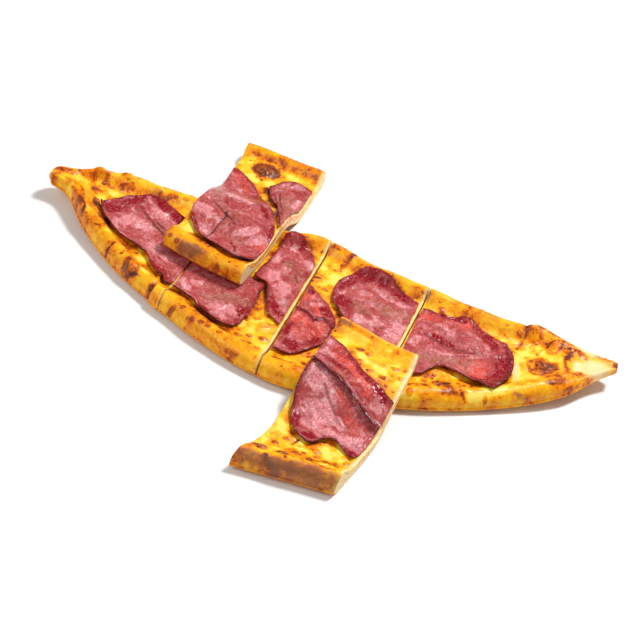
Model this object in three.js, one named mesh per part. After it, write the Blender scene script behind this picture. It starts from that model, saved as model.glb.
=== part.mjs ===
// Pastirma pide: a long boat of flatbread with raised rims, melted cheese inside and thin slices
// of cured beef on top. The boat is cut across into four slices that keep its shape, and two more
// slices lie crosswise: one hangs over the far rim, one over the near rim.
// Millimetres. X runs along the boat, Y across it and Z up. The origin is the middle of the underside.
import * as THREE from "three";
import { mergeVertices } from "three/addons/utils/BufferGeometryUtils.js";

// Dough
const LEFT_TIP = -186;
const RIGHT_TIP = 188.5;
const FLOOR_DOUGH = 4;
const RIM_HEIGHT = 13;
const CREST_INSET = 7;
const RIM_WIDTH = 18;
const FULL_RIM_HALF_WIDTH = 24;
const EDGE_TOP = 4.5;
const EDGE_BOTTOM = 2;
const EDGE_ROUND = 4.5;
const RIM_WAVE = { height: 0.65, long: 11, short: 4.7 };
const END_ROUND = 7;
const TIP_THICKNESS = 0.3;
const NUB_ROUND = { centre: 38.5, half: 4.8, depth: 3.5 };

// Tips of the boat: they bend up, and the dough closes over the filling there.
const LIFT_START = 110;
const TIP_LIFT = 9;
const NUB_RIM = 11;
const POINT_RIM = 7;
const NUB_CLOSES = [-158, -173];
const POINT_CLOSES = [142, 164];
const CLOSED_LEVEL = 0.93;

// Filling
const CHEESE_INSET = 10;
const CHEESE_LEVEL = 7;
const CHEESE_SKIN = 0.8;
const CHEESE_WAVE = { height: 0.3, x: 8.3, y: 6.7, lean: 17 };
const BEEF = 1.6;
const BEEF_WAVE = { height: 0.3, x: 5.3, y: 9.1 };
const CURL = { height: 0.8, share: 0.2 };
const OVERLAP = { margin: 3, ease: 7 };
const GAP = 0.35;
const REACH = 3.2;

// Steps in from an edge where the rim is sampled, and the step where the cheese begins. Leaning grid
// lines settle in a few turns, and the ring round a slice of beef takes a few points a side.
const RIM_STEPS = [0, 2, 4.5, CREST_INSET, CHEESE_INSET, 14, RIM_WIDTH];
const CHEESE_STEP = RIM_STEPS.indexOf(CHEESE_INSET);
const SETTLE_TURNS = 6;
const RING_STEPS = 12;

// Edges of the boat seen from above, left to right.
const BOAT_NEAR = [
  [-186, 33.5], [-170, 30], [-150, 9], [-119, -15], [-91, -31], [-45, -53],
  [0, -64], [40, -60], [85, -46], [129, -23], [162, 0], [178, 20], [188.5, 30.5],
];
const BOAT_FAR = [
  [-186, 43.5], [-172, 51], [-154, 61], [-137, 68], [-96, 68], [-34, 65],
  [-8, 70], [25, 61], [86, 53], [128, 49], [137, 53], [163, 43], [188.5, 36.5],
];

// Cuts across the boat: x at y = 0, how far it leans for each mm of y, and how far it gapes.
const CUT_LEFT = { x: -77.5, lean: 0.08, open: 0.8 };
const CUT_MIDDLE = { x: -6.5, lean: 0.05, open: 1.8 };
const CUT_RIGHT = { x: 62.3, lean: 0.07, open: 1.8 };

// The slice at the back: its rims as x, y from left to right, its cuts as y, x from near to far.
const BACK_NEAR = [[-97, 9], [-70, 1], [-42, -4]];
const BACK_FAR = [[-85.5, 144], [-74, 144.5], [-28.5, 137.5]];
const BACK_LEFT = [[9, -96.5], [36, -91.5], [62, -88.5], [144, -86]];
const BACK_RIGHT = [[-4, -42], [28, -37], [56, -33.5], [137.5, -29]];
const BACK_RAMP = { low: 10.6, high: 15, rises: [24, 48], falls: [56, 94] };

// The slice in front, which bends to the left at its near end.
const FRONT_NEAR = [[0, -134], [58, -129]];
const FRONT_FAR = [[25, -10], [75, -22]];
const FRONT_LEFT = [[-134, 0], [-103, 12], [-86, 14], [-10, 25]];
const FRONT_RIGHT = [[-129, 58], [-85, 69], [-45, 74], [-22, 75]];
const FRONT_RAMP = { low: 11, high: 14.6, rises: [-20, -40], falls: [-54, -88] };

// Finishes
const CRUST = { color: 0xcf8f3e, roughness: 0.55, metalness: 0 };
const CHEESE = { color: 0xe8ab3a, roughness: 0.4, metalness: 0 };
const CURED_BEEF = { color: 0x9c3a49, roughness: 0.35, metalness: 0 };

const clamp = (t) => Math.min(1, Math.max(0, t));
const mix = (a, b, t) => a + (b - a) * t;
const between = (range, t) => (t - range[0]) / (range[1] - range[0]);

function smooth(t) {
  const c = clamp(t);
  return c * c * (3 - 2 * c);
}

// A smooth line through points, as a function of their first number. It goes on straight past its ends.
function lineThrough(points) {
  const last = points.length - 1;
  const slopes = points.map((_, i) => {
    const before = points[Math.max(i - 1, 0)];
    const after = points[Math.min(i + 1, last)];
    return (after[1] - before[1]) / (after[0] - before[0]);
  });
  return (x) => {
    let i = 0;
    while (i < last - 1 && x > points[i + 1][0]) i += 1;
    const [x0, y0] = points[i];
    const [x1, y1] = points[i + 1];
    const width = x1 - x0;
    const t = clamp((x - x0) / width);
    const past = x - x0 - t * width;
    const ease = t * t * (3 - 2 * t);
    const bend = t * (1 - t) * width * ((1 - t) * slopes[i] - t * slopes[i + 1]);
    return mix(y0, y1, ease) + bend + past * (t < 1 ? slopes[i] : slopes[i + 1]);
  };
}

// Height of the dough at a distance from its edge: round outside, a crest, a slope to the floor.
function rimProfile(distance, rim, floor, scale) {
  const crest = CREST_INSET * scale;
  const foot = RIM_WIDTH * scale;
  if (distance < crest) {
    const t = 1 - clamp(distance / crest);
    return EDGE_TOP + (rim - EDGE_TOP) * Math.sqrt(1 - t * t);
  }
  const t = clamp((distance - crest) / (foot - crest));
  return floor + (rim - floor) * Math.cos((t * Math.PI) / 2) ** 2;
}

// One length of bread with its filling: heights above the floor at any place x, y.
class Bread {
  constructor({ near, far, lift, rim, closed, toTip, phase }) {
    Object.assign(this, { near, far, lift, rim, closed, toTip, phase });
  }

  // Turns a distance along Y into a distance square to the edge.
  square(edge, x) {
    const slope = edge(x + 0.5) - edge(x - 0.5);
    return 1 / Math.hypot(1, slope);
  }

  scale(x) {
    const half = ((this.far(x) - this.near(x)) / 2) * this.square(this.near, x);
    return clamp(half / FULL_RIM_HALF_WIDTH);
  }

  distances(x, y) {
    const near = (y - this.near(x)) * this.square(this.near, x);
    const far = (this.far(x) - y) * this.square(this.far, x);
    return [near, far];
  }

  // Where the tip's end rounds off: 0 at the very end, 1 past the round.
  tipRound(x) {
    const t = clamp(this.toTip(x) / END_ROUND);
    return Math.sqrt(1 - (1 - t) ** 2);
  }

  wave(x, side) {
    const turn = this.phase + 2.1 * side;
    const swell = Math.sin(x / RIM_WAVE.long + turn) + 0.5 * Math.sin(x / RIM_WAVE.short + 2 * turn);
    return RIM_WAVE.height * swell;
  }

  underside(x, y) {
    const distance = Math.min(...this.distances(x, y), this.toTip(x));
    return this.lift(x, y) + EDGE_BOTTOM * (1 - smooth(distance / EDGE_ROUND));
  }

  dough(x, y) {
    const scale = this.scale(x);
    const floor = mix(FLOOR_DOUGH, CLOSED_LEVEL * this.rim(x), this.closed(x));
    const distances = this.distances(x, y);
    const [near, far] = distances.map((distance, side) =>
      rimProfile(distance, this.rim(x) + scale * this.wave(x, side), floor, scale));
    const nearest = distances[0] < distances[1] ? near : far;
    const onRoll = Math.min(...distances) < CREST_INSET * scale;
    const height = onRoll ? nearest : Math.max(near, far);
    return this.lift(x, y) + mix(EDGE_TOP, height, mix(TIP_THICKNESS, 1, this.tipRound(x)));
  }

  cheese(x, y) {
    const along = Math.sin(x / CHEESE_WAVE.x + this.phase);
    const across = Math.sin(y / CHEESE_WAVE.y - x / CHEESE_WAVE.lean);
    const level = this.lift(x, y) + CHEESE_LEVEL + CHEESE_WAVE.height * (along + across);
    return Math.max(level, this.dough(x, y) + GAP + CHEESE_SKIN);
  }

  // The highest thing at a place, and the highest close by, so that what lies there clears it.
  top(x, y) {
    const inset = Math.min(...this.distances(x, y)) / this.scale(x);
    return inset < CHEESE_INSET ? this.dough(x, y) : this.cheese(x, y);
  }

  restOn(x, y) {
    const steps = [-REACH, 0, REACH];
    return Math.max(...steps.flatMap((dx) => steps.map((dy) => this.top(x + dx, y + dy))));
  }

  // Places across the bread at x: close together on both rims, evenly spread between them.
  acrossAt(x, inner) {
    const scale = this.scale(x);
    const near = RIM_STEPS.map((step) => this.near(x) + (step * scale) / this.square(this.near, x));
    const far = RIM_STEPS.map((step) => this.far(x) - (step * scale) / this.square(this.far, x));
    const middle = Array.from({ length: inner - 1 }, (_, i) =>
      mix(near.at(-1), far.at(-1), (i + 1) / inner));
    return [...near, ...middle, ...far.reverse()];
  }
}

// A box's upper and lower faces are split along crossing diagonals. Turned alike, an underside fits
// the top beneath it.
function turnLowerDiagonals(geometry) {
  const { start, count } = geometry.groups[5];
  const corners = geometry.index.array;
  for (let n = start; n < start + count; n += 6) {
    const [a, b, , , c, d] = corners.slice(n, n + 6);
    corners.set([a, b, c, a, c, d], n);
  }
}

// A closed solid over a grid: place(i, j) gives x, y and the heights of its top and underside.
function gridSolid(columns, rows, place) {
  const geometry = new THREE.BoxGeometry(1, 1, 1, columns, rows, 1);
  const position = geometry.getAttribute("position");
  for (let n = 0; n < position.count; n += 1) {
    const i = Math.round((position.getX(n) + 0.5) * columns);
    const j = Math.round((position.getY(n) + 0.5) * rows);
    const { x, y, top, under } = place(i, j);
    position.setXYZ(n, x, y, position.getZ(n) > 0 ? top : under);
  }
  turnLowerDiagonals(geometry);
  geometry.deleteAttribute("normal");
  geometry.deleteAttribute("uv");
  const solid = mergeVertices(geometry, 1e-4);
  solid.computeVertexNormals();
  return solid;
}

function namedMesh(name, geometry, finish) {
  const mesh = new THREE.Mesh(geometry, new THREE.MeshStandardMaterial(finish));
  mesh.name = name;
  return mesh;
}

// Grid places of a slice: left(y) and right(y) are its cuts, which may lean, so x and y settle in turn.
function slicePlaces(bread, left, right, columns, inner, crowd) {
  const rows = 2 * (RIM_STEPS.length - 1) + inner;
  const places = [];
  for (let i = 0; i <= columns; i += 1) {
    const share = crowd(i / columns);
    for (let j = 0; j <= rows; j += 1) {
      let x = mix(left(0), right(0), share);
      let y = 0;
      for (let turn = 0; turn < SETTLE_TURNS; turn += 1) {
        y = bread.acrossAt(x, inner)[j];
        x = mix(left(y), right(y), share);
      }
      places.push([x, y]);
    }
  }
  return { rows, at: (i, j) => places[i * (rows + 1) + j] };
}

// A slice of bread and the cheese that runs through it, on the same grid so that they fit.
function slice({ name, bread, left, right, columns, inner, crowd = (t) => t, filled = [0, columns] }) {
  const { rows, at } = slicePlaces(bread, left, right, columns, inner, crowd);
  const loaf = gridSolid(columns, rows, (i, j) => {
    const [x, y] = at(i, j);
    return { x, y, top: bread.dough(x, y), under: bread.underside(x, y) };
  });
  const [first, last] = filled;
  const cheese = gridSolid(last - first, rows - 2 * CHEESE_STEP, (i, j) => {
    const [x, y] = at(i + first, j + CHEESE_STEP);
    return { x, y, top: bread.cheese(x, y), under: bread.dough(x, y) + GAP };
  });
  return [namedMesh(`bread_${name}`, loaf, CRUST), namedMesh(`cheese_${name}`, cheese, CHEESE)];
}

// The four sides of a slice of beef as curves, anticlockwise from its lower left corner.
function sidesOf(sides) {
  return sides.map((points, i) => {
    const corner = sides[(i + 1) % sides.length][0];
    return new THREE.SplineCurve([...points, corner].map(([x, y]) => new THREE.Vector2(x, y)));
  });
}

// A place inside four sides: the two blends between opposite sides, less the blend of the corners.
function inside(sides, u, v) {
  const [low, right, high, left] = sides;
  const along = low.getPointAt(u).lerp(high.getPointAt(1 - u), v);
  const up = left.getPointAt(1 - v).lerp(right.getPointAt(v), u);
  const foot = low.getPointAt(0).lerp(low.getPointAt(1), u);
  const head = high.getPointAt(1).lerp(high.getPointAt(0), u);
  return along.add(up).sub(foot.lerp(head, v));
}

// Distance from x, y to a ring of points: negative inside it.
function distanceTo(ring, x, y) {
  let nearest = Infinity;
  let within = false;
  ring.forEach((a, i) => {
    const b = ring[(i + 1) % ring.length];
    const side = new THREE.Vector2().subVectors(b, a);
    const spot = new THREE.Vector2(x, y).sub(a);
    const foot = side.clone().multiplyScalar(clamp(spot.dot(side) / side.lengthSq()));
    nearest = Math.min(nearest, spot.distanceTo(foot));
    if (a.y > y !== b.y > y && spot.x < (side.x * spot.y) / side.y) within = !within;
  });
  return within ? -nearest : nearest;
}

// A thin slice of cured beef laid on the filling, and on the slice of beef beneath it if it has one.
function beef({ name, bread, sides, curls, beneath, columns = 9, rows = 9 }) {
  const curves = sidesOf(sides);
  const ring = beneath && sidesOf(beneath.sides).flatMap((side) => side.getPoints(RING_STEPS).slice(1));
  const geometry = gridSolid(columns, rows, (i, j) => {
    const u = i / columns;
    const v = j / rows;
    const { x, y } = inside(curves, u, v);
    const wave = BEEF_WAVE.height * (1 + Math.sin(x / BEEF_WAVE.x + y / BEEF_WAVE.y + bread.phase));
    const raised = ring ? 1 - smooth((distanceTo(ring, x, y) - OVERLAP.margin) / OVERLAP.ease) : 0;
    const fromSides = [v, 1 - u, 1 - v, u];
    const curl = Math.max(...fromSides.map((t, side) => curls[side] * (1 - smooth(t / CURL.share))));
    const base = bread.restOn(x, y) + GAP + wave + raised * (BEEF + GAP) + CURL.height * curl;
    return { x, y, top: base + BEEF, under: base };
  });
  return namedMesh(`pastirma_${name}`, geometry, CURED_BEEF);
}

// The boat
const boatLift = (x) => TIP_LIFT * clamp((Math.abs(x) - LIFT_START) / (RIGHT_TIP - LIFT_START)) ** 2;
const nubEnd = (y) =>
  LEFT_TIP + NUB_ROUND.depth * clamp(Math.abs(y - NUB_ROUND.centre) / NUB_ROUND.half) ** 2;
const boat = new Bread({
  near: lineThrough(BOAT_NEAR),
  far: lineThrough(BOAT_FAR),
  lift: boatLift,
  rim: (x) => mix(
    mix(RIM_HEIGHT, NUB_RIM, smooth(between(NUB_CLOSES, x))),
    POINT_RIM,
    smooth(between([POINT_CLOSES[0], RIGHT_TIP], x)),
  ),
  closed: (x) => Math.max(smooth(between(NUB_CLOSES, x)), smooth(between(POINT_CLOSES, x))),
  toTip: (x) => Math.min(x - LEFT_TIP, RIGHT_TIP - x),
  phase: 0.6,
});

// A slice laid crosswise: its underside is level, climbs over the rim beneath, then comes down outside.
function crossBread(near, far, ramp, phase) {
  return new Bread({
    near: lineThrough(near),
    far: lineThrough(far),
    lift: (x, y) =>
      mix(ramp.low, ramp.high, smooth(between(ramp.rises, y))) * (1 - smooth(between(ramp.falls, y))),
    rim: () => RIM_HEIGHT,
    closed: () => 0,
    toTip: () => Infinity,
    phase,
  });
}

const back = crossBread(BACK_NEAR, BACK_FAR, BACK_RAMP, 2.3);
const front = crossBread(FRONT_NEAR, FRONT_FAR, FRONT_RAMP, 4.1);
const cutSide = (cut, side) => (y) => cut.x + cut.lean * y + (side * cut.open) / 2;

const SLICES = [
  {
    name: "left_end", bread: boat, columns: 18, inner: 3, filled: [4, 18],
    left: nubEnd, right: cutSide(CUT_LEFT, -1), crowd: (t) => t ** 1.2,
  },
  {
    name: "left_middle", bread: boat, columns: 8, inner: 4,
    left: cutSide(CUT_LEFT, 1), right: cutSide(CUT_MIDDLE, -1),
  },
  {
    name: "right_middle", bread: boat, columns: 8, inner: 4,
    left: cutSide(CUT_MIDDLE, 1), right: cutSide(CUT_RIGHT, -1),
  },
  {
    name: "right_end", bread: boat, columns: 18, inner: 3, filled: [0, 14],
    left: cutSide(CUT_RIGHT, 1), right: () => RIGHT_TIP, crowd: (t) => 1 - (1 - t) ** 1.2,
  },
  {
    name: "back", bread: back, columns: 6, inner: 10,
    left: lineThrough(BACK_LEFT), right: lineThrough(BACK_RIGHT),
  },
  {
    name: "front", bread: front, columns: 6, inner: 10,
    left: lineThrough(FRONT_LEFT), right: lineThrough(FRONT_RIGHT),
  },
];

// Slices of beef: sides run anticlockwise from the lower left corner, each up to the next one's start.
const LEFT_END = {
  name: "left_end", bread: boat, curls: [0, 0, 1, 1], columns: 12,
  sides: [
    [[-141, 20], [-129, 9], [-107, 2], [-96, -10], [-87, -19]],
    [[-78.6, -20]],
    [[-75, 28], [-93, 42], [-110, 52], [-124, 54], [-134, 47]],
    [[-141, 38], [-147, 30]],
  ],
};
const LEFT_MIDDLE_LONG = {
  name: "left_middle_long", bread: boat, curls: [1, 0, 0, 0],
  sides: [
    [[-78, -22], [-65, -26], [-53, -38], [-43, -40]],
    [[-31, -33], [-29, -21]],
    [[-29, 8], [-45, 13], [-60, 17]],
    [[-74.6, 18]],
  ],
};
const LEFT_MIDDLE_SHORT = {
  name: "left_middle_short", bread: boat, beneath: LEFT_MIDDLE_LONG, curls: [0, 0, 1, 1],
  sides: [
    [[-20, -15], [-14, -19]],
    [[-8.9, -22]],
    [[-6, 41], [-15, 52], [-25, 59]],
    [[-31.5, 55], [-34, 34], [-37.5, 12], [-28, 7], [-23.5, -6]],
  ],
};
const RIGHT_MIDDLE_UPPER = {
  name: "right_middle_upper", bread: boat, curls: [0, 0, 1, 0],
  sides: [
    [[-5.4, -14], [6, -18]],
    [[17, -15], [20.5, -8], [19, -1]],
    [[12, 8], [2, 16]],
    [[-3.9, 21]],
  ],
};
const RIGHT_MIDDLE_LOWER = {
  name: "right_middle_lower", bread: boat, beneath: RIGHT_MIDDLE_UPPER, curls: [1, 1, 1, 0],
  sides: [
    [[-7, -43], [1, -44]],
    [[8, -40], [18, -28], [20.5, -18]],
    [[20, -11], [13, -6], [8.5, -10], [2.5, -6]],
    [[-5, -4]],
  ],
};
const RIGHT_MIDDLE_FAR = {
  name: "right_middle_far", bread: boat, curls: [0, 0, 1, 1],
  sides: [
    [[24, 1], [35, -5], [50, -8]],
    [[60, -8]],
    [[63.6, 37], [49, 42], [38, 49], [27, 51], [18, 46]],
    [[11, 34], [12, 17]],
  ],
};
const RIGHT_END = {
  name: "right_end", bread: boat, curls: [0, 1, 1, 0], columns: 11,
  sides: [
    [[62.2, -29], [77, -25], [86, -13], [96, -12], [110, -19]],
    [[122, -21], [129, -4], [128, 15]],
    [[121, 26], [110, 30], [93, 38], [83, 34]],
    [[66.2, 35]],
  ],
};
const BACK_LARGE = {
  name: "back_large", bread: back, curls: [1, 0, 1, 0], rows: 12,
  sides: [
    [[-88, 32], [-77, 17], [-64, 10], [-50, 6]],
    [[-40, 13], [-36.2, 38]],
    [[-41, 54], [-54, 78], [-66, 97], [-78, 108]],
    [[-86.6, 111], [-88, 66], [-91, 44]],
  ],
};
const BACK_SMALL = {
  name: "back_small", bread: back, curls: [0, 0, 1, 1],
  sides: [
    [[-45, 74], [-39, 60]],
    [[-35, 51]],
    [[-31.5, 112], [-44, 117]],
    [[-52, 113], [-58, 102], [-52, 88]],
  ],
};
const FRONT_LOWER = {
  name: "front_lower", bread: front, curls: [1, 0, 0, 1], rows: 10,
  sides: [
    [[25, -101], [35, -105], [46, -98]],
    [[60, -106], [64.3, -98]],
    [[68.8, -75], [50, -62], [36, -57]],
    [[20, -55], [17, -70], [19, -88]],
  ],
};
const FRONT_UPPER = {
  name: "front_upper", bread: front, beneath: FRONT_LOWER, curls: [1, 0, 0, 0], rows: 7,
  sides: [
    [[19.5, -57], [29, -61], [48, -70], [58, -77]],
    [[68.4, -82]],
    [[71, -66], [52, -54], [38, -42]],
    [[23, -31], [21, -44]],
  ],
};
const BEEF_SLICES = [
  LEFT_END, LEFT_MIDDLE_LONG, LEFT_MIDDLE_SHORT, RIGHT_MIDDLE_UPPER, RIGHT_MIDDLE_LOWER,
  RIGHT_MIDDLE_FAR, RIGHT_END, BACK_LARGE, BACK_SMALL, FRONT_LOWER, FRONT_UPPER,
];

const pide = new THREE.Group();
for (const given of SLICES) {
  const cut = new THREE.Group();
  cut.add(...slice(given));
  pide.add(cut);
}
for (const given of BEEF_SLICES) pide.add(beef(given));

export default pide;
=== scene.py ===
# %% [markdown]
# # A sliced pastirma pide
#
# Pide is a boat of thin flatbread. Its long sides are rolled up into rims, brushed with egg and baked
# until they shine, and the hollow between them is filled with cheese that melts, bubbles and browns.
# Pastirma, beef cured under a dark spice paste, is laid on top in thin slices.
#
# The CAD frame holds every slice at its true size. This lesson dresses each one: bread first, then the
# cheese on it, then the beef on that, because each lies on the one before. All sizes in the script are
# millimetres in the frame of the CAD part, and they are turned into Blender's metres only when a mesh
# is made.

# %% Load the packed frame
import math

import bpy
import numpy as np
from mathutils import Matrix, Vector


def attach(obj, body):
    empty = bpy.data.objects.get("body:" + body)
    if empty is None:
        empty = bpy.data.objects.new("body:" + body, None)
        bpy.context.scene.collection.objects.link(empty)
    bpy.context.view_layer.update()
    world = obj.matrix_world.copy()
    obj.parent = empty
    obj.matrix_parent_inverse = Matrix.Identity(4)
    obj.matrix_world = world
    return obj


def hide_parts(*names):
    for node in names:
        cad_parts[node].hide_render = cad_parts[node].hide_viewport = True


MM = 0.001
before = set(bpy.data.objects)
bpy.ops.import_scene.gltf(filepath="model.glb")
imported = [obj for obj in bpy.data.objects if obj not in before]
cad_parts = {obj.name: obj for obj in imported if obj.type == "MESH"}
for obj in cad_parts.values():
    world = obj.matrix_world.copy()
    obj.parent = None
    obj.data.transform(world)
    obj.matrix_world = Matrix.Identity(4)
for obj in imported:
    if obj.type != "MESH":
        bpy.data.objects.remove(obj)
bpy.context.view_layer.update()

# %% [markdown]
# ## Small tools for shapes
#
# A baked thing has no straight lines, so its shape is worked out point by point. NumPy does that for a
# whole surface at once. The helpers below ease between values, draw a smooth line through a few chosen
# points, measure how far a place is from an oval or a path, and give repeatable lumps. The lumps come
# from whole-number places, each with its own fixed random height, with smooth slopes between them. The
# seed picks another set of heights.


# %% Easing and smooth lines
def clamp(t):
    return np.clip(t, 0.0, 1.0)


def mix(a, b, t):
    return a + (b - a) * t


def smooth(t):
    t = clamp(t)
    return t * t * (3 - 2 * t)


def eased(start, end, t):
    """0 up to start and 1 from end on, with a smooth climb between them."""
    return smooth((t - start) / (end - start))


def softly_higher(a, b, ease):
    """The higher of a and b, with the corner between them filled over a height of about ease."""
    near = np.maximum(ease - abs(a - b), 0) / ease
    return np.maximum(a, b) + near**2 * ease / 4


def line_through(points):
    """A smooth line through points as a function of their first number, straight past its ends."""
    at = np.array(points, float)
    steps = np.diff(at[:, 0])
    widths = np.array([steps[0], *(steps[1:] + steps[:-1]), steps[-1]])
    rises = np.array([at[1, 1] - at[0, 1], *(at[2:, 1] - at[:-2, 1]), at[-1, 1] - at[-2, 1]])
    slopes = rises / widths

    def line(x):
        x = np.asarray(x, float)
        i = np.clip(np.searchsorted(at[:, 0], x) - 1, 0, len(at) - 2)
        width = steps[i]
        t = clamp((x - at[i, 0]) / width)
        past = x - at[i, 0] - t * width
        bend = t * (1 - t) * width * ((1 - t) * slopes[i] - t * slopes[i + 1])
        beyond = past * np.where(t < 1, slopes[i], slopes[i + 1])
        return mix(at[i, 1], at[i + 1, 1], smooth(t)) + bend + beyond

    return line


print("line through three points at 5:", line_through([(0, 0), (10, 5), (20, 0)])(5.0))


# %% Lumps, ovals and paths
def height_at(column, row, seed):
    """A repeatable number between -1 and 1 for each whole-number place."""
    n = column.astype(np.uint32) * np.uint32(374761393) + row.astype(np.uint32) * np.uint32(668265263)
    n = n + np.uint32(seed * 40503 + 77)
    n = (n ^ (n >> np.uint32(13))) * np.uint32(1274126177)
    n = n ^ (n >> np.uint32(16))
    return n.astype(float) / 2**31 - 1


def lumps(x, y, size, seed):
    """Smooth bumps between -1 and 1, about size apart. The grid behind them is turned by the seed."""
    turn = 0.7 + seed
    u = (x * math.cos(turn) - y * math.sin(turn)) / size
    v = (x * math.sin(turn) + y * math.cos(turn)) / size
    column, row = np.floor(u).astype(np.int64), np.floor(v).astype(np.int64)
    s, t = smooth(u - column), smooth(v - row)
    low = mix(height_at(column, row, seed), height_at(column + 1, row, seed), s)
    high = mix(height_at(column, row + 1, seed), height_at(column + 1, row + 1, seed), s)
    return mix(low, high, t)


def rough(x, y, size, seed):
    """Lumps with lumps of half and of a quarter of their size on them."""
    return sum(lumps(x, y, size / 2**n, seed + n) / 2**n for n in range(3)) / 1.5


def bell(distance, width):
    """1 at a distance of 0, a third at the width, and nearly nothing at twice the width."""
    return np.exp(-((distance / width) ** 2))


def oval(x, y, at_x, at_y, length, width, turn=0):
    """How far out each place is in an oval, 0 at its middle and 1 at its edge. Turn is in degrees."""
    angle = math.radians(turn)
    along = (x - at_x) * math.cos(angle) + (y - at_y) * math.sin(angle)
    across = (y - at_y) * math.cos(angle) - (x - at_x) * math.sin(angle)
    return np.hypot(along / length, across / width)


def away_from(path, x, y):
    """Distance from each place to a path of straight stretches."""
    nearest = np.full(np.shape(x), np.inf)
    for (ax, ay), (bx, by) in zip(path[:-1], path[1:]):
        dx, dy = bx - ax, by - ay
        t = clamp(((x - ax) * dx + (y - ay) * dy) / (dx * dx + dy * dy))
        nearest = np.minimum(nearest, np.hypot(x - ax - t * dx, y - ay - t * dy))
    return nearest


def lines_at(lines, x, y, wander, size):
    """Height and shade of thin lines. A line is a path, its half width, its rise and its shade. It
    wanders a little from its path, in turns of about size."""
    height, shade = np.zeros(np.shape(x)), np.zeros(np.shape(x))
    for n, (path, width, rise, dark) in enumerate(lines):
        shape = bell(away_from(path, x, y) + wander * lumps(x, y, size, n), width)
        height += rise * shape
        shade += dark * shape
    return height, shade


print("lumps repeat:", lumps(np.array([3.0, 3.0]), np.array([1.0, 1.0]), 5, 2))

# %% [markdown]
# ## The boat of bread
#
# On the real pide the rim is a roll of dough: round outside, highest a little way in, and sloping down
# to the thin floor under the cheese. A profile of height over distance from the edge says all that, so
# the bread is one rule and not a sculpture. The rule is the CAD part's own, with the same sizes, so that
# the dressed bread stays where the solid is. The boat's two edges are smooth lines seen from above. At
# its tips the dough closes over the filling and bends up from the table.

# %% Sizes of the bread
LEFT_TIP = -186
RIGHT_TIP = 188.5
FLOOR_DOUGH = 4
RIM_HEIGHT = 13
CREST_INSET = 7
RIM_WIDTH = 18
FULL_RIM_HALF_WIDTH = 24
EDGE_TOP = 4.5
EDGE_BOTTOM = 2
EDGE_ROUND = 4.5
RIM_WAVE, RIM_LONG, RIM_SHORT = 0.65, 11, 4.7
END_ROUND = 7
TIP_THICKNESS = 0.3
NUB_CENTRE, NUB_HALF, NUB_DEPTH = 38.5, 4.8, 3.5
LIFT_START, TIP_LIFT = 110, 9
NUB_RIM, POINT_RIM = 11, 7
NUB_OPEN, NUB_CLOSED = -158, -173
POINT_OPEN, POINT_CLOSED = 142, 164
CLOSED_LEVEL = 0.93
CHEESE_INSET = 10
CHEESE_LEVEL = 7
PLEAT_X, PLEAT_BULGE, PLEAT_LENGTH = -89, 1.7, 17

BOAT_NEAR = [
    (-186, 33.5), (-170, 30), (-150, 9), (-119, -15), (-91, -31), (-45, -53),
    (0, -64), (40, -60), (85, -46), (129, -23), (162, 0), (178, 20), (188.5, 30.5),
]
BOAT_FAR = [
    (-186, 43.5), (-172, 51), (-154, 61), (-137, 68), (-96, 68), (-34, 65),
    (-8, 70), (25, 61), (86, 53), (128, 49), (137, 53), (163, 43), (188.5, 36.5),
]


# %% Heights of a bread
def rim_profile(distance, rim, floor, scale):
    """Height of the dough at a distance from its edge: round outside, a crest, a slope to the floor."""
    crest, foot = CREST_INSET * scale, RIM_WIDTH * scale
    outside = 1 - clamp(distance / crest)
    roll = EDGE_TOP + (rim - EDGE_TOP) * np.sqrt(1 - outside**2)
    t = clamp((distance - crest) / (foot - crest))
    slope = floor + (rim - floor) * np.cos(t * math.pi / 2) ** 2
    return np.where(distance < crest, roll, slope)


class Bread:
    """One length of bread: its heights above the table at any place x, y, in the frame's millimetres."""

    def __init__(self, near, far, lift, rim, closed, to_tip, fill, phase, marks, folds):
        self.near, self.far, self.lift, self.rim = near, far, lift, rim
        self.closed, self.to_tip, self.fill, self.phase = closed, to_tip, fill, phase
        self.marks, self.folds = one_by_one(marks), folds

    def square(self, edge, x):
        return 1 / np.hypot(1, edge(x + 0.5) - edge(x - 0.5))

    def scale(self, x):
        half = (self.far(x) - self.near(x)) / 2 * self.square(self.near, x)
        return clamp(half / FULL_RIM_HALF_WIDTH)

    def distances(self, x, y):
        near = (y - self.near(x)) * self.square(self.near, x)
        far = (self.far(x) - y) * self.square(self.far, x)
        return near, far

    def inset(self, x, y):
        return np.minimum(*self.distances(x, y))

    def wave(self, x, side):
        turn = self.phase + 2.1 * side
        return RIM_WAVE * (np.sin(x / RIM_LONG + turn) + 0.5 * np.sin(x / RIM_SHORT + 2 * turn))

    def underside(self, x, y):
        distance = np.minimum(self.inset(x, y), self.to_tip(x))
        return self.lift(x, y) + EDGE_BOTTOM * (1 - smooth(distance / EDGE_ROUND))

    def dough(self, x, y):
        scale = self.scale(x)
        floor = mix(FLOOR_DOUGH, CLOSED_LEVEL * self.rim(x), self.closed(x))
        from_near, from_far = self.distances(x, y)
        near = rim_profile(from_near, self.rim(x) + scale * self.wave(x, 0), floor, scale)
        far = rim_profile(from_far, self.rim(x) + scale * self.wave(x, 1), floor, scale)
        nearest = np.where(from_near < from_far, near, far)
        on_roll = np.minimum(from_near, from_far) < CREST_INSET * scale
        height = np.where(on_roll, nearest, np.maximum(near, far))
        t = clamp(self.to_tip(x) / END_ROUND)
        thick = mix(TIP_THICKNESS, 1, np.sqrt(1 - (1 - t) ** 2))
        return self.lift(x, y) + mix(EDGE_TOP, height, thick)

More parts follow.
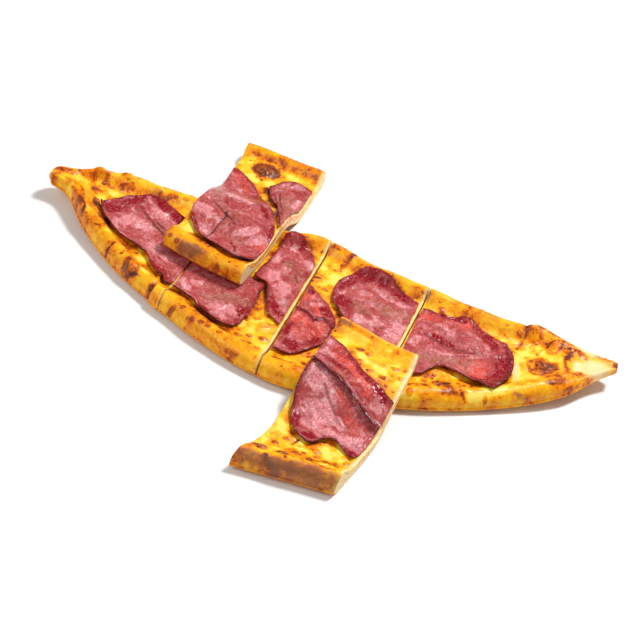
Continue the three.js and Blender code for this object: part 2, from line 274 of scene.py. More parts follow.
# %% [markdown]
# ## What baking did to it
#
# Heat leaves its marks on both the dough and the cheese: bubbles with a browned ring, burnt spots, soft
# browned smudges, pale patches, and grey-brown bands where the top of a rim met the roof of the oven.
# They are listed here one by one, because where they sit is what makes this pide this one. A mark moves the
# surface, and it also sets how toasted, how dull and how bare of glaze each place is. Those amounts are
# kept on the mesh as attributes, and the materials turn them into colour. Each mark's edge is bent by
# small lumps, so that no two are alike.

# %% Kinds of mark
# A kind has the height in mm of its dome, how toasted its ring, its middle and its soft surroundings are,
# how dull it is, and how bare of glaze. What a kind doesn't name is 0. A dome is as high as listed where
# the mark's half width is DOME_SIZE, and grows with the mark up to LARGEST_DOME.
PLAIN_MARK = dict(dome=0.0, ring=0.0, middle=0.0, around=0.0, dull=0.0, bare=0.0)
MARK_KINDS = {
    "lump": dict(dome=1.10),
    "bubble": dict(dome=0.85, ring=0.32, middle=0.18, around=0.07),
    "puff": dict(dome=1.20, ring=0.16),
    "spot": dict(dome=-0.12, ring=0.24, middle=0.44, around=0.04),
    "smudge": dict(dome=0.25, around=0.20),
    "pale": dict(around=-0.26),
    "bare": dict(around=-0.16, bare=1.0),
    "scorch": dict(dome=0.60, ring=0.40, middle=0.30, around=0.10, dull=0.18),
    "blister": dict(dome=0.90, ring=0.56, middle=0.58, around=0.04, dull=0.08),
    "swirl": dict(dome=0.60, ring=0.30, middle=0.06, around=0.06, dull=0.06),
    "dull": dict(around=0.20, dull=0.95),
}
CRINKLED_KINDS = ("scorch", "blister", "swirl")
MARK_AMOUNTS = ("toast", "dull", "bare", "mark", "ring", "middle")
MARK_REACH = 2.2
DOME_SIZE, LARGEST_DOME = 2, 4
BLISTER_WOBBLE = 0.4
FAR_FROM_MARKS = 2.0
RING_AT = 0.85


def one_by_one(rows):
    """A row for each place, from rows that name several places of one kind."""
    return [(kind, *place) for kind, *places in rows for place in places]


def two_rings(d):
    """Bends a mark's own distance, so that it has one ring inside, at 0.42, and one at 0.90."""
    return np.where(d < 0.66, RING_AT - 1.5 * abs(d - 0.42), RING_AT + 1.5 * (d - 0.90))


def bake(marks, x, y):
    """What the marks do at each place: height in mm, toast, dull, bare, and the nearest mark's own
    distance, which is 0 at its middle and 1 at its edge, with how toasted its ring and middle are."""
    baked = {key: np.zeros(np.shape(x)) for key in ("height", *MARK_AMOUNTS)}
    baked["mark"] = np.full(np.shape(x), FAR_FROM_MARKS)
    for n, (kind, *place) in enumerate(marks):
        k = PLAIN_MARK | MARK_KINDS[kind]
        at_x, at_y, length, width = place[:4]
        small, reach = min(length, width), MARK_REACH * max(length, width)
        close = (abs(x - at_x) < reach) & (abs(y - at_y) < reach)
        if not close.any():
            continue
        px, py = x[close], y[close]
        coarse, fine = lumps(px, py, 0.9 * small + 0.5, n), lumps(px, py, 0.4 * small + 0.3, n + 3)
        wobble = (0.20 * coarse + 0.12 * fine) * (BLISTER_WOBBLE if kind == "blister" else 1)
        d = oval(px, py, *place) + wobble
        around = 1 - smooth(d - 0.35)
        crinkle = 1 + 0.5 * lumps(px, py, 1.3, n + 9) * (kind in CRINKLED_KINDS)
        dome = k["dome"] * min(small, LARGEST_DOME) / DOME_SIZE * (1 - smooth((d - 0.2) / 0.9))
        baked["height"][close] += dome * crinkle
        baked["toast"][close] += k["around"] * around * crinkle
        for key in ("dull", "bare"):
            baked[key][close] = np.maximum(baked[key][close], k[key] * around)
        if k["ring"] or k["middle"]:
            d = two_rings(d) if kind == "swirl" else d
            nearer = d < baked["mark"][close]
            for key, value in (("mark", d), ("ring", k["ring"]), ("middle", k["middle"])):
                baked[key][close] = np.where(nearer, value, baked[key][close])
    return baked


print("kinds of mark:", ", ".join(MARK_KINDS))

# %% Marks on the boat
# Each row: a kind, then places. A place: x, y, half the mark's length, half its width, and its turn in
# degrees if it has one.
LEFT_END_MARKS = [
    ("smudge", (-159, 22, 5.5, 3, 50)),
    ("bubble", (-139, 19, 2, 1.6)),
    ("smudge", (-161, 33, 5.8, 1.8, -58), (-168, 34, 1.8, 1.8, 32), (-153, 53, 6.4, 1.9, -60),
     (-159, 46, 7.1, 2.4, -66)),
    ("spot", (-145, 60, 1.3, 1.1, -35), (-140, 62, 1.9, 0.9, 6), (-135, 61, 1.3, 0.9, -11)),
    ("smudge", (-140, 54, 6.8, 3.4, 15)),
    ("scorch", (-150, 29, 6.4, 2.7, -60)),
    ("smudge", (-154, 42, 5.2, 2.4, 2), (-142, 16, 4.8, 2.4)),
    ("pale", (-131, 4, 3, 1.6, -40)),
    ("smudge", (-136, 15, 5.2, 1.8, -47), (-120, -2, 5.8, 3, -9), (-109, -9, 5.3, 2.5, -3),
     (-149, 49, 2.6, 1.5, 15), (-126, -5, 2.3, 1.8, -5)),
    ("lump", (-159, 55, 6, 4.5, -20), (-141, 60, 6, 3.6), (-169, 36, 5, 4, -50), (-149, 25, 6, 4, -60),
     (-153, 12, 6, 3, -50), (-120, 60, 6, 3, -15)),
    ("spot", (-123, -13, 0.9, 0.9), (-116, -11.4, 1.5, 0.9, 20)),
    ("dull", (-109.5, -19, 1.8, 1.5)),
    ("bubble", (-106.5, -17.6, 6.8, 5.2, -20), (-116, -2, 2, 1.3), (-88.5, -28.5, 2.6, 2.2)),
    ("smudge", (-89.5, -33, 2.4, 5.5, -10)),
    ("bubble", (-108, 59, 2, 1.4), (-101, 59, 2.2, 1.6)),
    ("pale", (-150, 38, 3, 5, 30), (-143, 45, 5, 3, 10), (-130, 10, 3, 2, -40), (-176, 33, 5, 3, -25)),
    ("smudge", (-176, 43, 8, 2.6, 22)),
    ("pale", (-168, 29, 3, 1.2, -50), (-98, -18, 2.4, 5, 60)),
]
MIDDLE_MARKS = [
    ("bubble", (-71, -40, 2.4, 1.6, 20)),
    ("spot", (-78, -40, 0.9, 0.9)),
    ("bubble", (-65, -39, 1.8, 1.3)),
    ("smudge", (-57, -45, 3.6, 1.8, -20)),
    ("bubble", (-51, -46, 2.2, 1.4), (-46, -47, 1.8, 1.3), (-38, -49, 2.4, 1.3), (-29, -41, 2.8, 2.1),
     (-23, -38, 2.6, 1.9), (-15, -37, 3.1, 1.8), (-25, -46, 2.2, 1.8), (-20.5, -45, 1.8, 1.3),
     (-15, -48, 2.7, 2, -10)),
    ("smudge", (-19, -27, 6, 4, 20)),
    ("puff", (-18, -26, 4, 2.6, 20)),
    ("bubble", (-23, -22, 2.6, 1.5, 20)),
    ("smudge", (-27, -14, 3, 1.8), (-30, -25, 3.2, 2)),
    ("pale", (-32, -30, 4, 3.5), (-11, -44, 2.6, 5)),
    ("smudge", (-27, -58, 5, 1.6, -12)),
    ("spot", (-7, 56, 1.4, 0.9, 60)),
    ("smudge", (12, 56, 5, 2.4, 55), (4, 24, 3, 2)),
    ("bubble", (-2, 32, 2.4, 1.3)),
    ("pale", (8, 37, 4, 5, 20), (-2, 43, 4, 2)),
    ("smudge", (0, 60, 5, 2.6, -10)),
    ("bubble", (8, -51, 2.4, 1.8), (14, -47, 2.2, 1.9)),
    ("spot", (2, -53, 0.9, 0.8)),
    ("smudge", (7, -37, 7, 2.8, 15), (16, -28, 4, 2.4, 30)),
    ("bubble", (15, -39, 2.4, 1.5)),
    ("smudge", (12, -56, 5, 4)),
    ("spot", (57, 40, 1, 0.8)),
]
RIGHT_END_MARKS = [
    ("dull", (66, 45, 2, 3)),
    ("smudge", (79, 37, 4, 2.5, -40), (121, 34, 3, 1.8, 20), (127, 37, 2.6, 2)),
    ("spot", (128, 27, 1.7, 1.3)),
    ("puff", (135, 41, 7, 5.5)),
    ("smudge", (131, 42, 3, 4, 60), (136.5, 36, 1.8, 3.4), (138, 46.5, 4.4, 1.6, -10),
     (147, 44.5, 4, 1.4, -12)),
    ("spot", (144, 37, 0.8, 0.7)),
    ("puff", (149, 34, 4.4, 5, 20)),
    ("swirl", (145.5, 16.5, 9.2, 8.8, -15), (143.5, 11, 4.2, 3.6)),
    ("smudge", (145, 16, 9, 8, -15), (153.5, 19, 3.2, 4.6)),
    ("spot", (158.4, 35.8, 1.6, 1.9)),
    ("smudge", (158.5, 25, 2.4, 8, 5), (165.5, 35, 4.6, 2.6, -20), (167, 33, 4, 2.4),
     (171.3, 22.5, 1.6, 1.6)),
    ("spot", (151.8, -1.8, 4.4, 1.5, 18)),
    ("dull", (137, -16, 4, 1.3, 12)),
    ("spot", (146, -13, 0.9, 0.9)),
    ("smudge", (136, -9, 4.6, 1.5, 15), (142, -4, 6, 2, 15), (157, 3, 8, 2.6, 38)),
    ("scorch", (187.5, 33.5, 2.2, 2.6)),
    ("bare", (177, 24, 12, 9, 15), (168, 39, 8, 2.4, -20), (166, 22, 4, 5)),
    ("pale", (131.5, 8, 2.4, 11, 8), (134, 26, 2.6, 5, -25)),
    ("bare", (131.5, 6, 1.6, 9, 8)),
    ("pale", (122, -20, 8, 2.2, 12)),
    ("bubble", (73.8, -37.7, 2.7, 2.5), (76.4, -44.5, 2.2, 2.6), (89.5, -27, 3, 2.5), (94.5, -25, 2.2, 2)),
    ("spot", (86, -22.4, 1.2, 1)),
    ("bubble", (97.5, -30, 2.2, 3, 10)),
    ("puff", (103, -30, 3.4, 4.6, -30)),
    ("bubble", (119, -27, 1.6, 1.5)),
    ("smudge", (86.6, -46, 4, 1.8, 10)),
    ("pale", (88, -33.5, 3.4, 2.2), (113, -29.5, 6, 2, 20), (76, -47, 6, 2.4, 20)),
    ("bubble", (82, -27, 2.2, 1.8), (80, -37, 1.8, 1.5)),
    ("smudge", (97, -35, 6, 2, 25)),
    ("bubble", (101, -22, 1.5, 1.3)),
    ("smudge", (92, -24, 7, 2.4, 20)),
    ("spot", (108, -29, 1, 0.8)),
]
BOAT_MARKS = LEFT_END_MARKS + MIDDLE_MARKS + RIGHT_END_MARKS
# A fold is a thin line. Each row: path, half width, rise, toast.
BOAT_FOLDS = [
    ([(-172, 29), (-168, 33), (-162, 32.5), (-157, 28), (-152, 21), (-149, 15)], 1.1, -0.75, -0.22),
    ([(-168, 29), (-163, 28), (-159, 24), (-156, 20)], 2.2, 0.6, 0.02),
    ([(-155, 46), (-152, 58)], 1.2, 0.5, 0.16), ([(-147, 48), (-145, 58)], 1.3, -0.45, 0.1),
    ([(-156, 20.5), (-152.8, 18), (-152.6, 13.5)], 0.8, 0.2, 0.32),
    ([(-140.5, 5.5), (-138, 5.6), (-136, 3.8), (-138, 1.6)], 0.7, 0.3, 0.34),
    ([(-126.6, -10.5), (-123.3, -5)], 0.6, -0.45, 0.42),
    # Painted shade: the dark crescent under the large bubble on the near rim.
    ([(-110, -22.2), (-107, -23.2), (-103, -22.2), (-100.5, -22.8)], 0.6, -0.5, 0.32),
    ([(-90, -38), (-87, -24)], 0.8, -0.9, 0.2), ([(14, 59), (9, 45)], 1.6, 0.5, 0.24),
    ([(76, 40), (79, 36), (84, 36)], 1.1, 0.8, 0.08), ([(74, 36), (78, 33), (84, 32)], 0.9, -0.6, 0.16),
    ([(129, 49), (131, 38), (128, 28)], 1.1, -0.8, 0.22),
    ([(140.5, 26), (143.5, 32), (148, 38), (154, 40.5), (153, 34), (150.5, 30)], 0.7, 0.4, 0.27),
    ([(161, 33.5), (158.2, 28), (157.8, 22), (158.7, 17.5), (161.6, 14.8), (164.6, 14.8)], 1.4, 0.45, 0.4),
    ([(166.6, 17.8), (168.4, 16.6)], 0.9, 0.2, 0.38), ([(160, 42), (165, 40.4)], 0.9, 0.2, 0.22),
    ([(162, 29), (165, 26), (170, 27)], 0.8, 0.35, 0.06),
    ([(77, -34.5), (80, -32.5), (83, -32.3), (87, -36.8)], 0.7, 0.4, 0.28),
    ([(90.5, -28.5), (91.5, -31.5)], 0.6, -0.3, 0.3),
    ([(102.5, -28), (105, -31), (108.3, -33.8)], 0.7, -0.5, 0.32),
    ([(106, -25.5), (110.5, -30), (123, -23.5), (131, -8)], 1.6, 0.2, -0.22),
    ([(166, 13), (170, 5)], 0.7, -0.55, -0.12), ([(-99, 66), (-84, 66)], 1.2, 0.3, 0.14),
]
print(len(one_by_one(BOAT_MARKS)), "marks and", len(BOAT_FOLDS), "folds on the boat")

# %% Marks on the two crosswise slices
BACK_MARKS = [
    ("blister", (-67, 121, 11, 8.2, -5)),
    ("dull", (-78, 4.5, 10, 2.6, -12), (-62, -3, 8, 1.6, -8)),
    ("bubble", (-88, 8, 1.8, 1.3), (-93, 10, 1.4, 1.1)),
    ("smudge", (-80, 16, 5, 3, -25), (-72, 10, 6, 2.2, -20)),
    ("pale", (-87, 25, 3, 8, 10), (-56, 108, 8, 4, -20), (-74, 108, 7, 4, -20)),
    ("dull", (-45, 138, 14, 2.4, -6)),
    ("spot", (-80, 127, 1, 0.8)),
    ("smudge", (-65, 112, 5, 2.4, -15)),
    ("pale", (-46, 122, 6, 3, -25)),
    ("smudge", (-58, -2, 9, 2, -10)),
    ("spot", (-52, 2, 1.2, 0.8)),
]
BACK_FOLDS = [
    # Painted shade: a darker line at the foot of the far rim, so that the roll shows.
    ([(-80, 133), (-60, 131), (-34, 126)], 1.6, -0.5, 0.12),
    ([(-86, 140), (-60, 139), (-30, 133)], 5, 0, 0.12),
    ([(-60, 102), (-49, 84), (-40, 62), (-34, 47)], 2, 1.5, 0.22),
    ([(-57, 100), (-46, 84), (-37, 62), (-33, 50)], 0.7, -0.5, 0.35),
]
FRONT_MARKS = [
    ("bubble", (42, -34, 2.4, 1.7), (48, -36, 2.6, 2), (52, -49, 2.4, 1.5), (60, -51, 2.4, 1.8),
     (65, -41, 3.2, 1.8), (70, -48, 2, 1.8), (45, -43, 1.5, 1.1)),
    ("smudge", (57, -42, 3.4, 2, 20)),
    ("pale", (58, -46, 7, 2.6, -30), (44, -39, 5, 2.4, -30)),
    ("dull", (12, -120, 2.8, 1.5)),
    ("bubble", (12, -120, 4.6, 3), (25, -121.5, 4.4, 2.6, -10)),
    ("dull", (25.5, -121.5, 2.8, 1.3, -10)),
    ("spot", (27.4, -125, 1.6, 1.1), (36, -122.5, 1.6, 0.9)),
    ("bubble", (39, -118, 2, 2.4), (42.5, -113, 2.4, 1.6), (41, -109, 3.2, 2.1), (47.6, -115.3, 3.2, 1.7),
     (54, -114.5, 3.4, 1.9), (18, -112, 2, 1.4), (22, -106.5, 2.2, 1.6), (32, -117, 2.2, 1.7),
     (35, -113, 1.8, 1.4), (31, -109, 1.4, 1.1), (58, -110.5, 2, 1.7)),
    ("smudge", (30, -115, 7, 3), (50, -117, 6, 2.4)),
    ("pale", (48, -119.8, 4.5, 1.4, -6), (38.6, -122, 2.4, 1), (46.7, -110, 3.2, 1.8),
     (21, -117.2, 3.6, 2), (33, -111, 4, 1.6), (18, -100, 3.4, 6, 15)),
    ("dull", (10, -130, 12, 3.8, 2), (25, -129.5, 9, 3.2)),
    ("scorch", (17, -127, 2, 1, -25)),
    ("dull", (41, -128.2, 23, 4.2, 4)),
    ("pale", (24, -93, 2.4, 5)),
    ("dull", (28, -18, 5, 2, -10)),
    ("smudge", (42, -22, 14, 2, -12)),
    ("spot", (24, -24, 1, 0.7)),
]
FRONT_FOLDS = [
    ([(27, -109), (29.5, -104)], 0.9, -0.5, 0.55),
    ([(44, -121), (48, -122.6), (54, -122)], 0.8, -0.6, 0.24),
    # A painted highlight along the fold of the near rim, then painted shade in the groove beside it.
    ([(14, -126), (20, -129), (30, -131)], 1, 0.8, -0.1),
    ([(15, -128), (21, -131), (31, -132.5)], 0.8, -0.6, 0.36),
]
print(len(one_by_one(BACK_MARKS)), "marks on the back slice")
print(len(one_by_one(FRONT_MARKS)), "marks on the front slice")


# %% The three breads
ENDLESS = 1000
CROSS_FILL = 2.0
BOAT_FILL_LEFT, BOAT_FILL_RIGHT = 0.3, 2.4


def always(value):
    return lambda x: value + 0 * x


def pleat(x):
    """Where two lengths of the near rim were pinched together, the next one starts further out."""
    return PLEAT_BULGE * smooth((x - PLEAT_X) / 2.5) * (1 - smooth((x - PLEAT_X - 3) / PLEAT_LENGTH))


def boat_lift(x, y):
    return TIP_LIFT * clamp((abs(x) - LIFT_START) / (RIGHT_TIP - LIFT_START)) ** 2


def boat_rim(x):
    body = mix(RIM_HEIGHT, NUB_RIM, eased(NUB_OPEN, NUB_CLOSED, x))
    return mix(body, POINT_RIM, eased(POINT_OPEN, RIGHT_TIP, x))


def boat_closed(x):
    """1 where the dough at a tip has closed over the filling, 0 where the boat is open."""
    return np.maximum(eased(NUB_OPEN, NUB_CLOSED, x), eased(POINT_OPEN, POINT_CLOSED, x))


def cross_lift(low, high, rises, falls):
    """A slice laid crosswise is level, climbs over the rim beneath it, then comes down outside."""
    return lambda x, y: mix(low, high, eased(*rises, y)) * (1 - eased(*falls, y))


def cross_bread(near, far, lift, phase, marks, folds):
    """A crosswise slice of bread, with rims of one height and no tips."""
    return Bread(
        near=line_through(near), far=line_through(far), lift=lift,
        rim=always(RIM_HEIGHT), closed=always(0), to_tip=always(ENDLESS), fill=always(CROSS_FILL),
        phase=phase, marks=marks, folds=folds,
    )


near_edge = line_through(BOAT_NEAR)
boat = Bread(
    near=lambda x: near_edge(x) - pleat(x),
    far=line_through(BOAT_FAR),
    lift=boat_lift,
    rim=boat_rim,
    closed=boat_closed,
    to_tip=lambda x: np.minimum(x - LEFT_TIP, RIGHT_TIP - x),
    fill=lambda x: mix(BOAT_FILL_LEFT, BOAT_FILL_RIGHT, eased(-70, 40, x)),
    phase=0.6, marks=BOAT_MARKS, folds=BOAT_FOLDS,
)
back = cross_bread(
    near=[(-97, 9), (-70, 1), (-42, -4)], far=[(-85.5, 144), (-74, 144.5), (-28.5, 137.5)],
    lift=cross_lift(10.6, 15, (24, 48), (56, 94)), phase=2.3, marks=BACK_MARKS, folds=BACK_FOLDS,
)
front = cross_bread(
    near=[(0, -134), (58, -129)], far=[(25, -10), (75, -22)],
    lift=cross_lift(11, 14.6, (-20, -40), (-54, -88)), phase=4.1, marks=FRONT_MARKS, folds=FRONT_FOLDS,
)
print("dough at the middle of the boat:", round(float(boat.dough(np.array(0.0), np.array(0.0))), 2), "mm")

# %% [markdown]
# ## How toasted each place is
#
# Bread and cheese brown by the same heat, so one rule gives the toast of both, and no seam shows where
# the cheese thins out on the rim. A crest stands nearest to the oven's roof and is golden to orange. The
# inner slope is lighter, and the flat cheese goes from pale yellow through golden to orange. Extra toast
# midway down the inner slope and on the outer face of the rim is partly browning and partly painted shade,
# which keeps the shade on those faces orange.


# %% Toast and fine relief
CREST_AT, CREST_WIDTH = 5, 4.5
SLOPE_AT, SLOPE_WIDTH = 12, 3.5
FOLD_WANDER = (0.3, 2.5)
RELIEF_INSET = 3
CHEESE_FILM = 0.55
CHEESE_WAVE = 0.45
CHEESE_CREEP = 5
FILL_AT, FILL_WIDTH = 13, 5


def toast_at(bread, x, y):
    """Amounts for the materials at each place seen from above. Toast runs from 0, pale, to 1, burnt."""
    scale, seed = bread.scale(x), int(bread.phase * 10)
    inset = bread.inset(x, y) / np.maximum(scale, 0.2)
    crest = bell(inset - CREST_AT, CREST_WIDTH)
    slope = bell(inset - SLOPE_AT, SLOPE_WIDTH)
    outside = 1 - smooth(inset / CREST_AT)
    slow = rough(x, y, 13, 5 + seed)
    quick = rough(x, y, 4.2, 11 + seed)
    # The slope and outside terms add toast where shade falls on the rim: partly browning, partly painted
    # shade.
    toast = 0.18 + 0.09 * crest + 0.10 * slope + 0.10 * outside
    toast = toast + 0.14 * slow + 0.19 * quick * (1 - 0.5 * crest)
    toast = toast + 0.14 * clamp(1 - scale)
    baked = bake(bread.marks, x, y)
    _, folded = lines_at(bread.folds, x, y, *FOLD_WANDER)
    return {key: baked[key] for key in MARK_AMOUNTS} | {"toast": toast + baked["toast"] + folded}


def relief_at(bread, x, y):
    """Lumps in mm on both bread and cheese, with the marks and the folds."""
    lumpy = 0.32 * rough(x, y, 9, 21) + 0.12 * rough(x, y, 2.8, 23)
    folded, _ = lines_at(bread.folds, x, y, *FOLD_WANDER)
    return lumpy + bake(bread.marks, x, y)["height"] + folded


def crust_height(bread, x, y):
    rolled = smooth(bread.inset(x, y) / RELIEF_INSET)
    return bread.dough(x, y) + rolled * relief_at(bread, x, y) + 0.25 * lumps(x, y, 8, 31) * (1 - rolled)


def cheese_height(bread, x, y):
    """Height of the cheese: level, but it creeps up the rims, and it piles up along the near one."""
    wave = CHEESE_WAVE * rough(x, y, 9, 41) + 0.22 * rough(x, y, 3.1, 43)
    piled = bread.fill(x) * bell(bread.distances(x, y)[0] - FILL_AT, FILL_WIDTH)
    level = bread.lift(x, y) + CHEESE_LEVEL + wave + piled + relief_at(bread, x, y)
    return softly_higher(level, crust_height(bread, x, y) + CHEESE_FILM, CHEESE_CREEP)


print("toast of the boat's middle:", round(float(toast_at(boat, np.zeros(1), np.zeros(1))["toast"][0]), 2))

# %% [markdown]
# ## One way to make every shell
#
# Bread, cheese and beef are all thicker or thinner sheets: a top, an underside and a wall round the edge.
# A grid of places seen from above gives the top and the underside, and rings of points between them
# close the wall, so that the mesh is watertight. The wall is bent a little outwards where the edge is
# round, and roughened where a knife went through. Each vertex can carry named amounts, which are stored
# as mesh attributes for the materials.


# %% Closed shells
def edge_loop(columns, rows):
    """Grid indices once round the edge, anticlockwise from above, and the side that each belongs to."""
    near = [(i, 0, "near") for i in range(columns)]
    right = [(columns, j, "right") for j in range(rows)]
    far = [(i, rows, "far") for i in range(columns, 0, -1)]
    left = [(0, j, "left") for j in range(rows, 0, -1)]
    return near + right + far + left


def grid_faces(first, columns, rows, turned):
    """Squares over a grid whose vertices start at first. Turned ones look down."""
    at = first + np.arange((columns + 1) * (rows + 1)).reshape(columns + 1, rows + 1)
    corners = [at[:-1, :-1], at[1:, :-1], at[1:, 1:], at[:-1, 1:]]
    faces = np.stack([c.ravel() for c in corners], axis=1)
    return faces[:, ::-1] if turned else faces


def shell(x, y, top, under, steps, bulge, amounts, wall_amounts):
    """Vertices, faces and amounts of a closed shell, and how many of its faces are top and underside.

    Each ring of the wall is a share of the way up. bulge(share, sides, ring) says how far its points
    move outwards, and wall_amounts(share, thick, sides, ring, index) gives the amounts there.
    """
    columns, rows = x.shape[0] - 1, x.shape[1] - 1
    count = x.size
    points = [np.stack([x, y, top], -1).reshape(-1, 3), np.stack([x, y, under], -1).reshape(-1, 3)]
    faces = [grid_faces(0, columns, rows, False), grid_faces(count, columns, rows, True)]
    loop = edge_loop(columns, rows)
    index = np.array([i * (rows + 1) + j for i, j, _ in loop])
    sides = np.array([side for _, _, side in loop])
    low, high = points[1][index], points[0][index]
    ahead, behind = np.roll(high, -1, axis=0), np.roll(high, 1, axis=0)
    direction = ahead - behind
    outwards = np.stack([direction[:, 1], -direction[:, 0], 0 * direction[:, 0]], -1)
    outwards /= np.maximum(np.linalg.norm(outwards, axis=1, keepdims=True), 1e-9)
    rings = [count + index]
    named = {name: [values.ravel() for values in both] for name, both in amounts.items()}
    for n in range(1, steps):
        share = n / steps
        straight = mix(low, high, share)
        ring = straight + outwards * bulge(share, sides, straight)[:, None]
        rings.append(2 * count + (n - 1) * len(index) + np.arange(len(index)))
        points.append(ring)
        for name, values in wall_amounts(share, high[:, 2] - low[:, 2], sides, ring, index).items():
            named[name].append(values)
    rings.append(index)
    walls = []
    for lower, upper in zip(rings[:-1], rings[1:]):
        walls.append(np.stack([lower, np.roll(lower, -1), np.roll(upper, -1), upper], axis=1))
    faces_all = np.concatenate(faces + walls)
    wall_side = np.tile(sides, steps)
    named = {name: np.concatenate(values) for name, values in named.items()}
    return np.concatenate(points), faces_all, named, 2 * columns * rows, wall_side


def side_distances(x, y):
    """Distance in mm from each side of a grid."""
    edges = {"near": np.s_[:, :1], "right": np.s_[-1:], "far": np.s_[:, -1:], "left": np.s_[:1]}
    return {side: np.hypot(x - x[edge], y - y[edge]) for side, edge in edges.items()}


def closest(from_sides, names):
    """Distance from the closest of the named sides."""
    return np.minimum.reduce([from_sides[name] for name in names])


print("points round a small grid:", len(edge_loop(2, 2)))


# %% A mesh from a shell
SHARP_FROM = 50


def add_amount(mesh, name, values):
    mesh.attributes.new(name, "FLOAT", "POINT").data.foreach_set("value", values.astype(np.float32))


def make_mesh(name, points, faces, named, finishes, finish_index=0):
    """A mesh object in metres, smooth, with its amounts as attributes."""
    mesh = bpy.data.meshes.new(name)
    mesh.vertices.add(len(points))
    mesh.vertices.foreach_set("co", (points * MM).astype(np.float32).ravel())
    mesh.loops.add(faces.size)
    mesh.loops.foreach_set("vertex_index", faces.astype(np.int32).ravel())
    mesh.polygons.add(len(faces))
    mesh.polygons.foreach_set("loop_start", np.arange(0, faces.size, 4, dtype=np.int32))
    for key, values in named.items():
        add_amount(mesh, key, values)
    for finish in finishes:
        mesh.materials.append(finish)
    mesh.polygons.foreach_set("material_index", np.broadcast_to(finish_index, len(faces)).astype(np.int32))
    mesh.update(calc_edges=True)
    mesh.validate()
    mesh.set_sharp_from_angle(angle=math.radians(SHARP_FROM))
    piece = bpy.data.objects.new(name, mesh)
    bpy.context.scene.collection.objects.link(piece)
    return piece


def tell(pieces):
    for piece in pieces.values():
        print(piece.name, len(piece.data.polygons), "faces")


print("edges are sharp from", SHARP_FROM, "degrees")

# %% [markdown]
# ## Materials from Python expressions
#
# A finish is a small graph of shader nodes. Written out node by node it is hard to read, so a socket is
# wrapped in a class whose plus, minus and times add the Math nodes. Anything else comes from one method
# that takes the node's type, what goes into its sockets, and its settings.


# %% A socket that can be added and multiplied
class Amount:
    """A socket that holds one number."""

    def __init__(self, graph, socket):
        self.graph, self.socket = graph, socket

    def math(self, operation, *others, clamped=False):
        values = [self, *others]
        return self.graph.amount("ShaderNodeMath", values, operation=operation, use_clamp=clamped)

    def __add__(self, other):
        return self.math("ADD", other)

    def __sub__(self, other):
        return self.math("SUBTRACT", other)

    def __mul__(self, other):
        return self.math("MULTIPLY", other)

    def __rsub__(self, other):
        return (self * -1) + other

    def __rtruediv__(self, other):
        return self.graph.amount("ShaderNodeMath", [other, self], operation="DIVIDE")

    __radd__ = __add__
    __rmul__ = __mul__

    def clamped(self):
        return self.math("ADD", 0.0, clamped=True)

    def above(self, start, end):
        """0 below start, 1 above end, eased between them."""
        values = {"Value": self, "From Min": start, "From Max": end}
        return self.graph.amount("ShaderNodeMapRange", values, interpolation_type="SMOOTHSTEP")

    def below(self, start, end):
        """1 below start, 0 above end."""
        return 1 - self.above(start, end)

    def within(self, start, full, fade, end):
        """1 from full to fade, eased down to 0 at start and at end."""
        return self.above(start, full) * self.below(fade, end)


class NodeTree:
    """A tree of nodes, for a material or for geometry."""

    def __init__(self, tree):
        self.tree = tree
        self.tree.nodes.clear()

    def node(self, kind, values=(), **settings):
        """Adds a node. Settings come first; values are set or linked by socket name or number."""
        node = self.tree.nodes.new(kind)
        for name, value in settings.items():
            if name == "stops":
                self.set_stops(node.color_ramp, value)
            else:
                setattr(node, name, value)
        pairs = values.items() if isinstance(values, dict) else enumerate(values)
        for name, value in pairs:
            if value is not None:
                self.feed(node.inputs[name], value)
        return node

    def output(self, kind, values=(), name=0, **settings):
        """Adds a node and gives its first output, or the one that is named."""
        return self.node(kind, values, **settings).outputs[name]

    def amount(self, kind, values=(), name=0, **settings):
        """Adds a node and gives its output as an amount."""
        return Amount(self, self.output(kind, values, name, **settings))

    def feed(self, socket, value):
        value = getattr(value, "socket", value)
        if isinstance(value, bpy.types.NodeSocket):
            self.tree.links.new(value, socket)
        else:
            socket.default_value = value

    def set_stops(self, ramp, stops):
        while len(ramp.elements) < len(stops):
            ramp.elements.new(0.5)
        for element, (position, colour) in zip(ramp.elements, stops):
            element.position = position
            element.color = (*colour, 1)


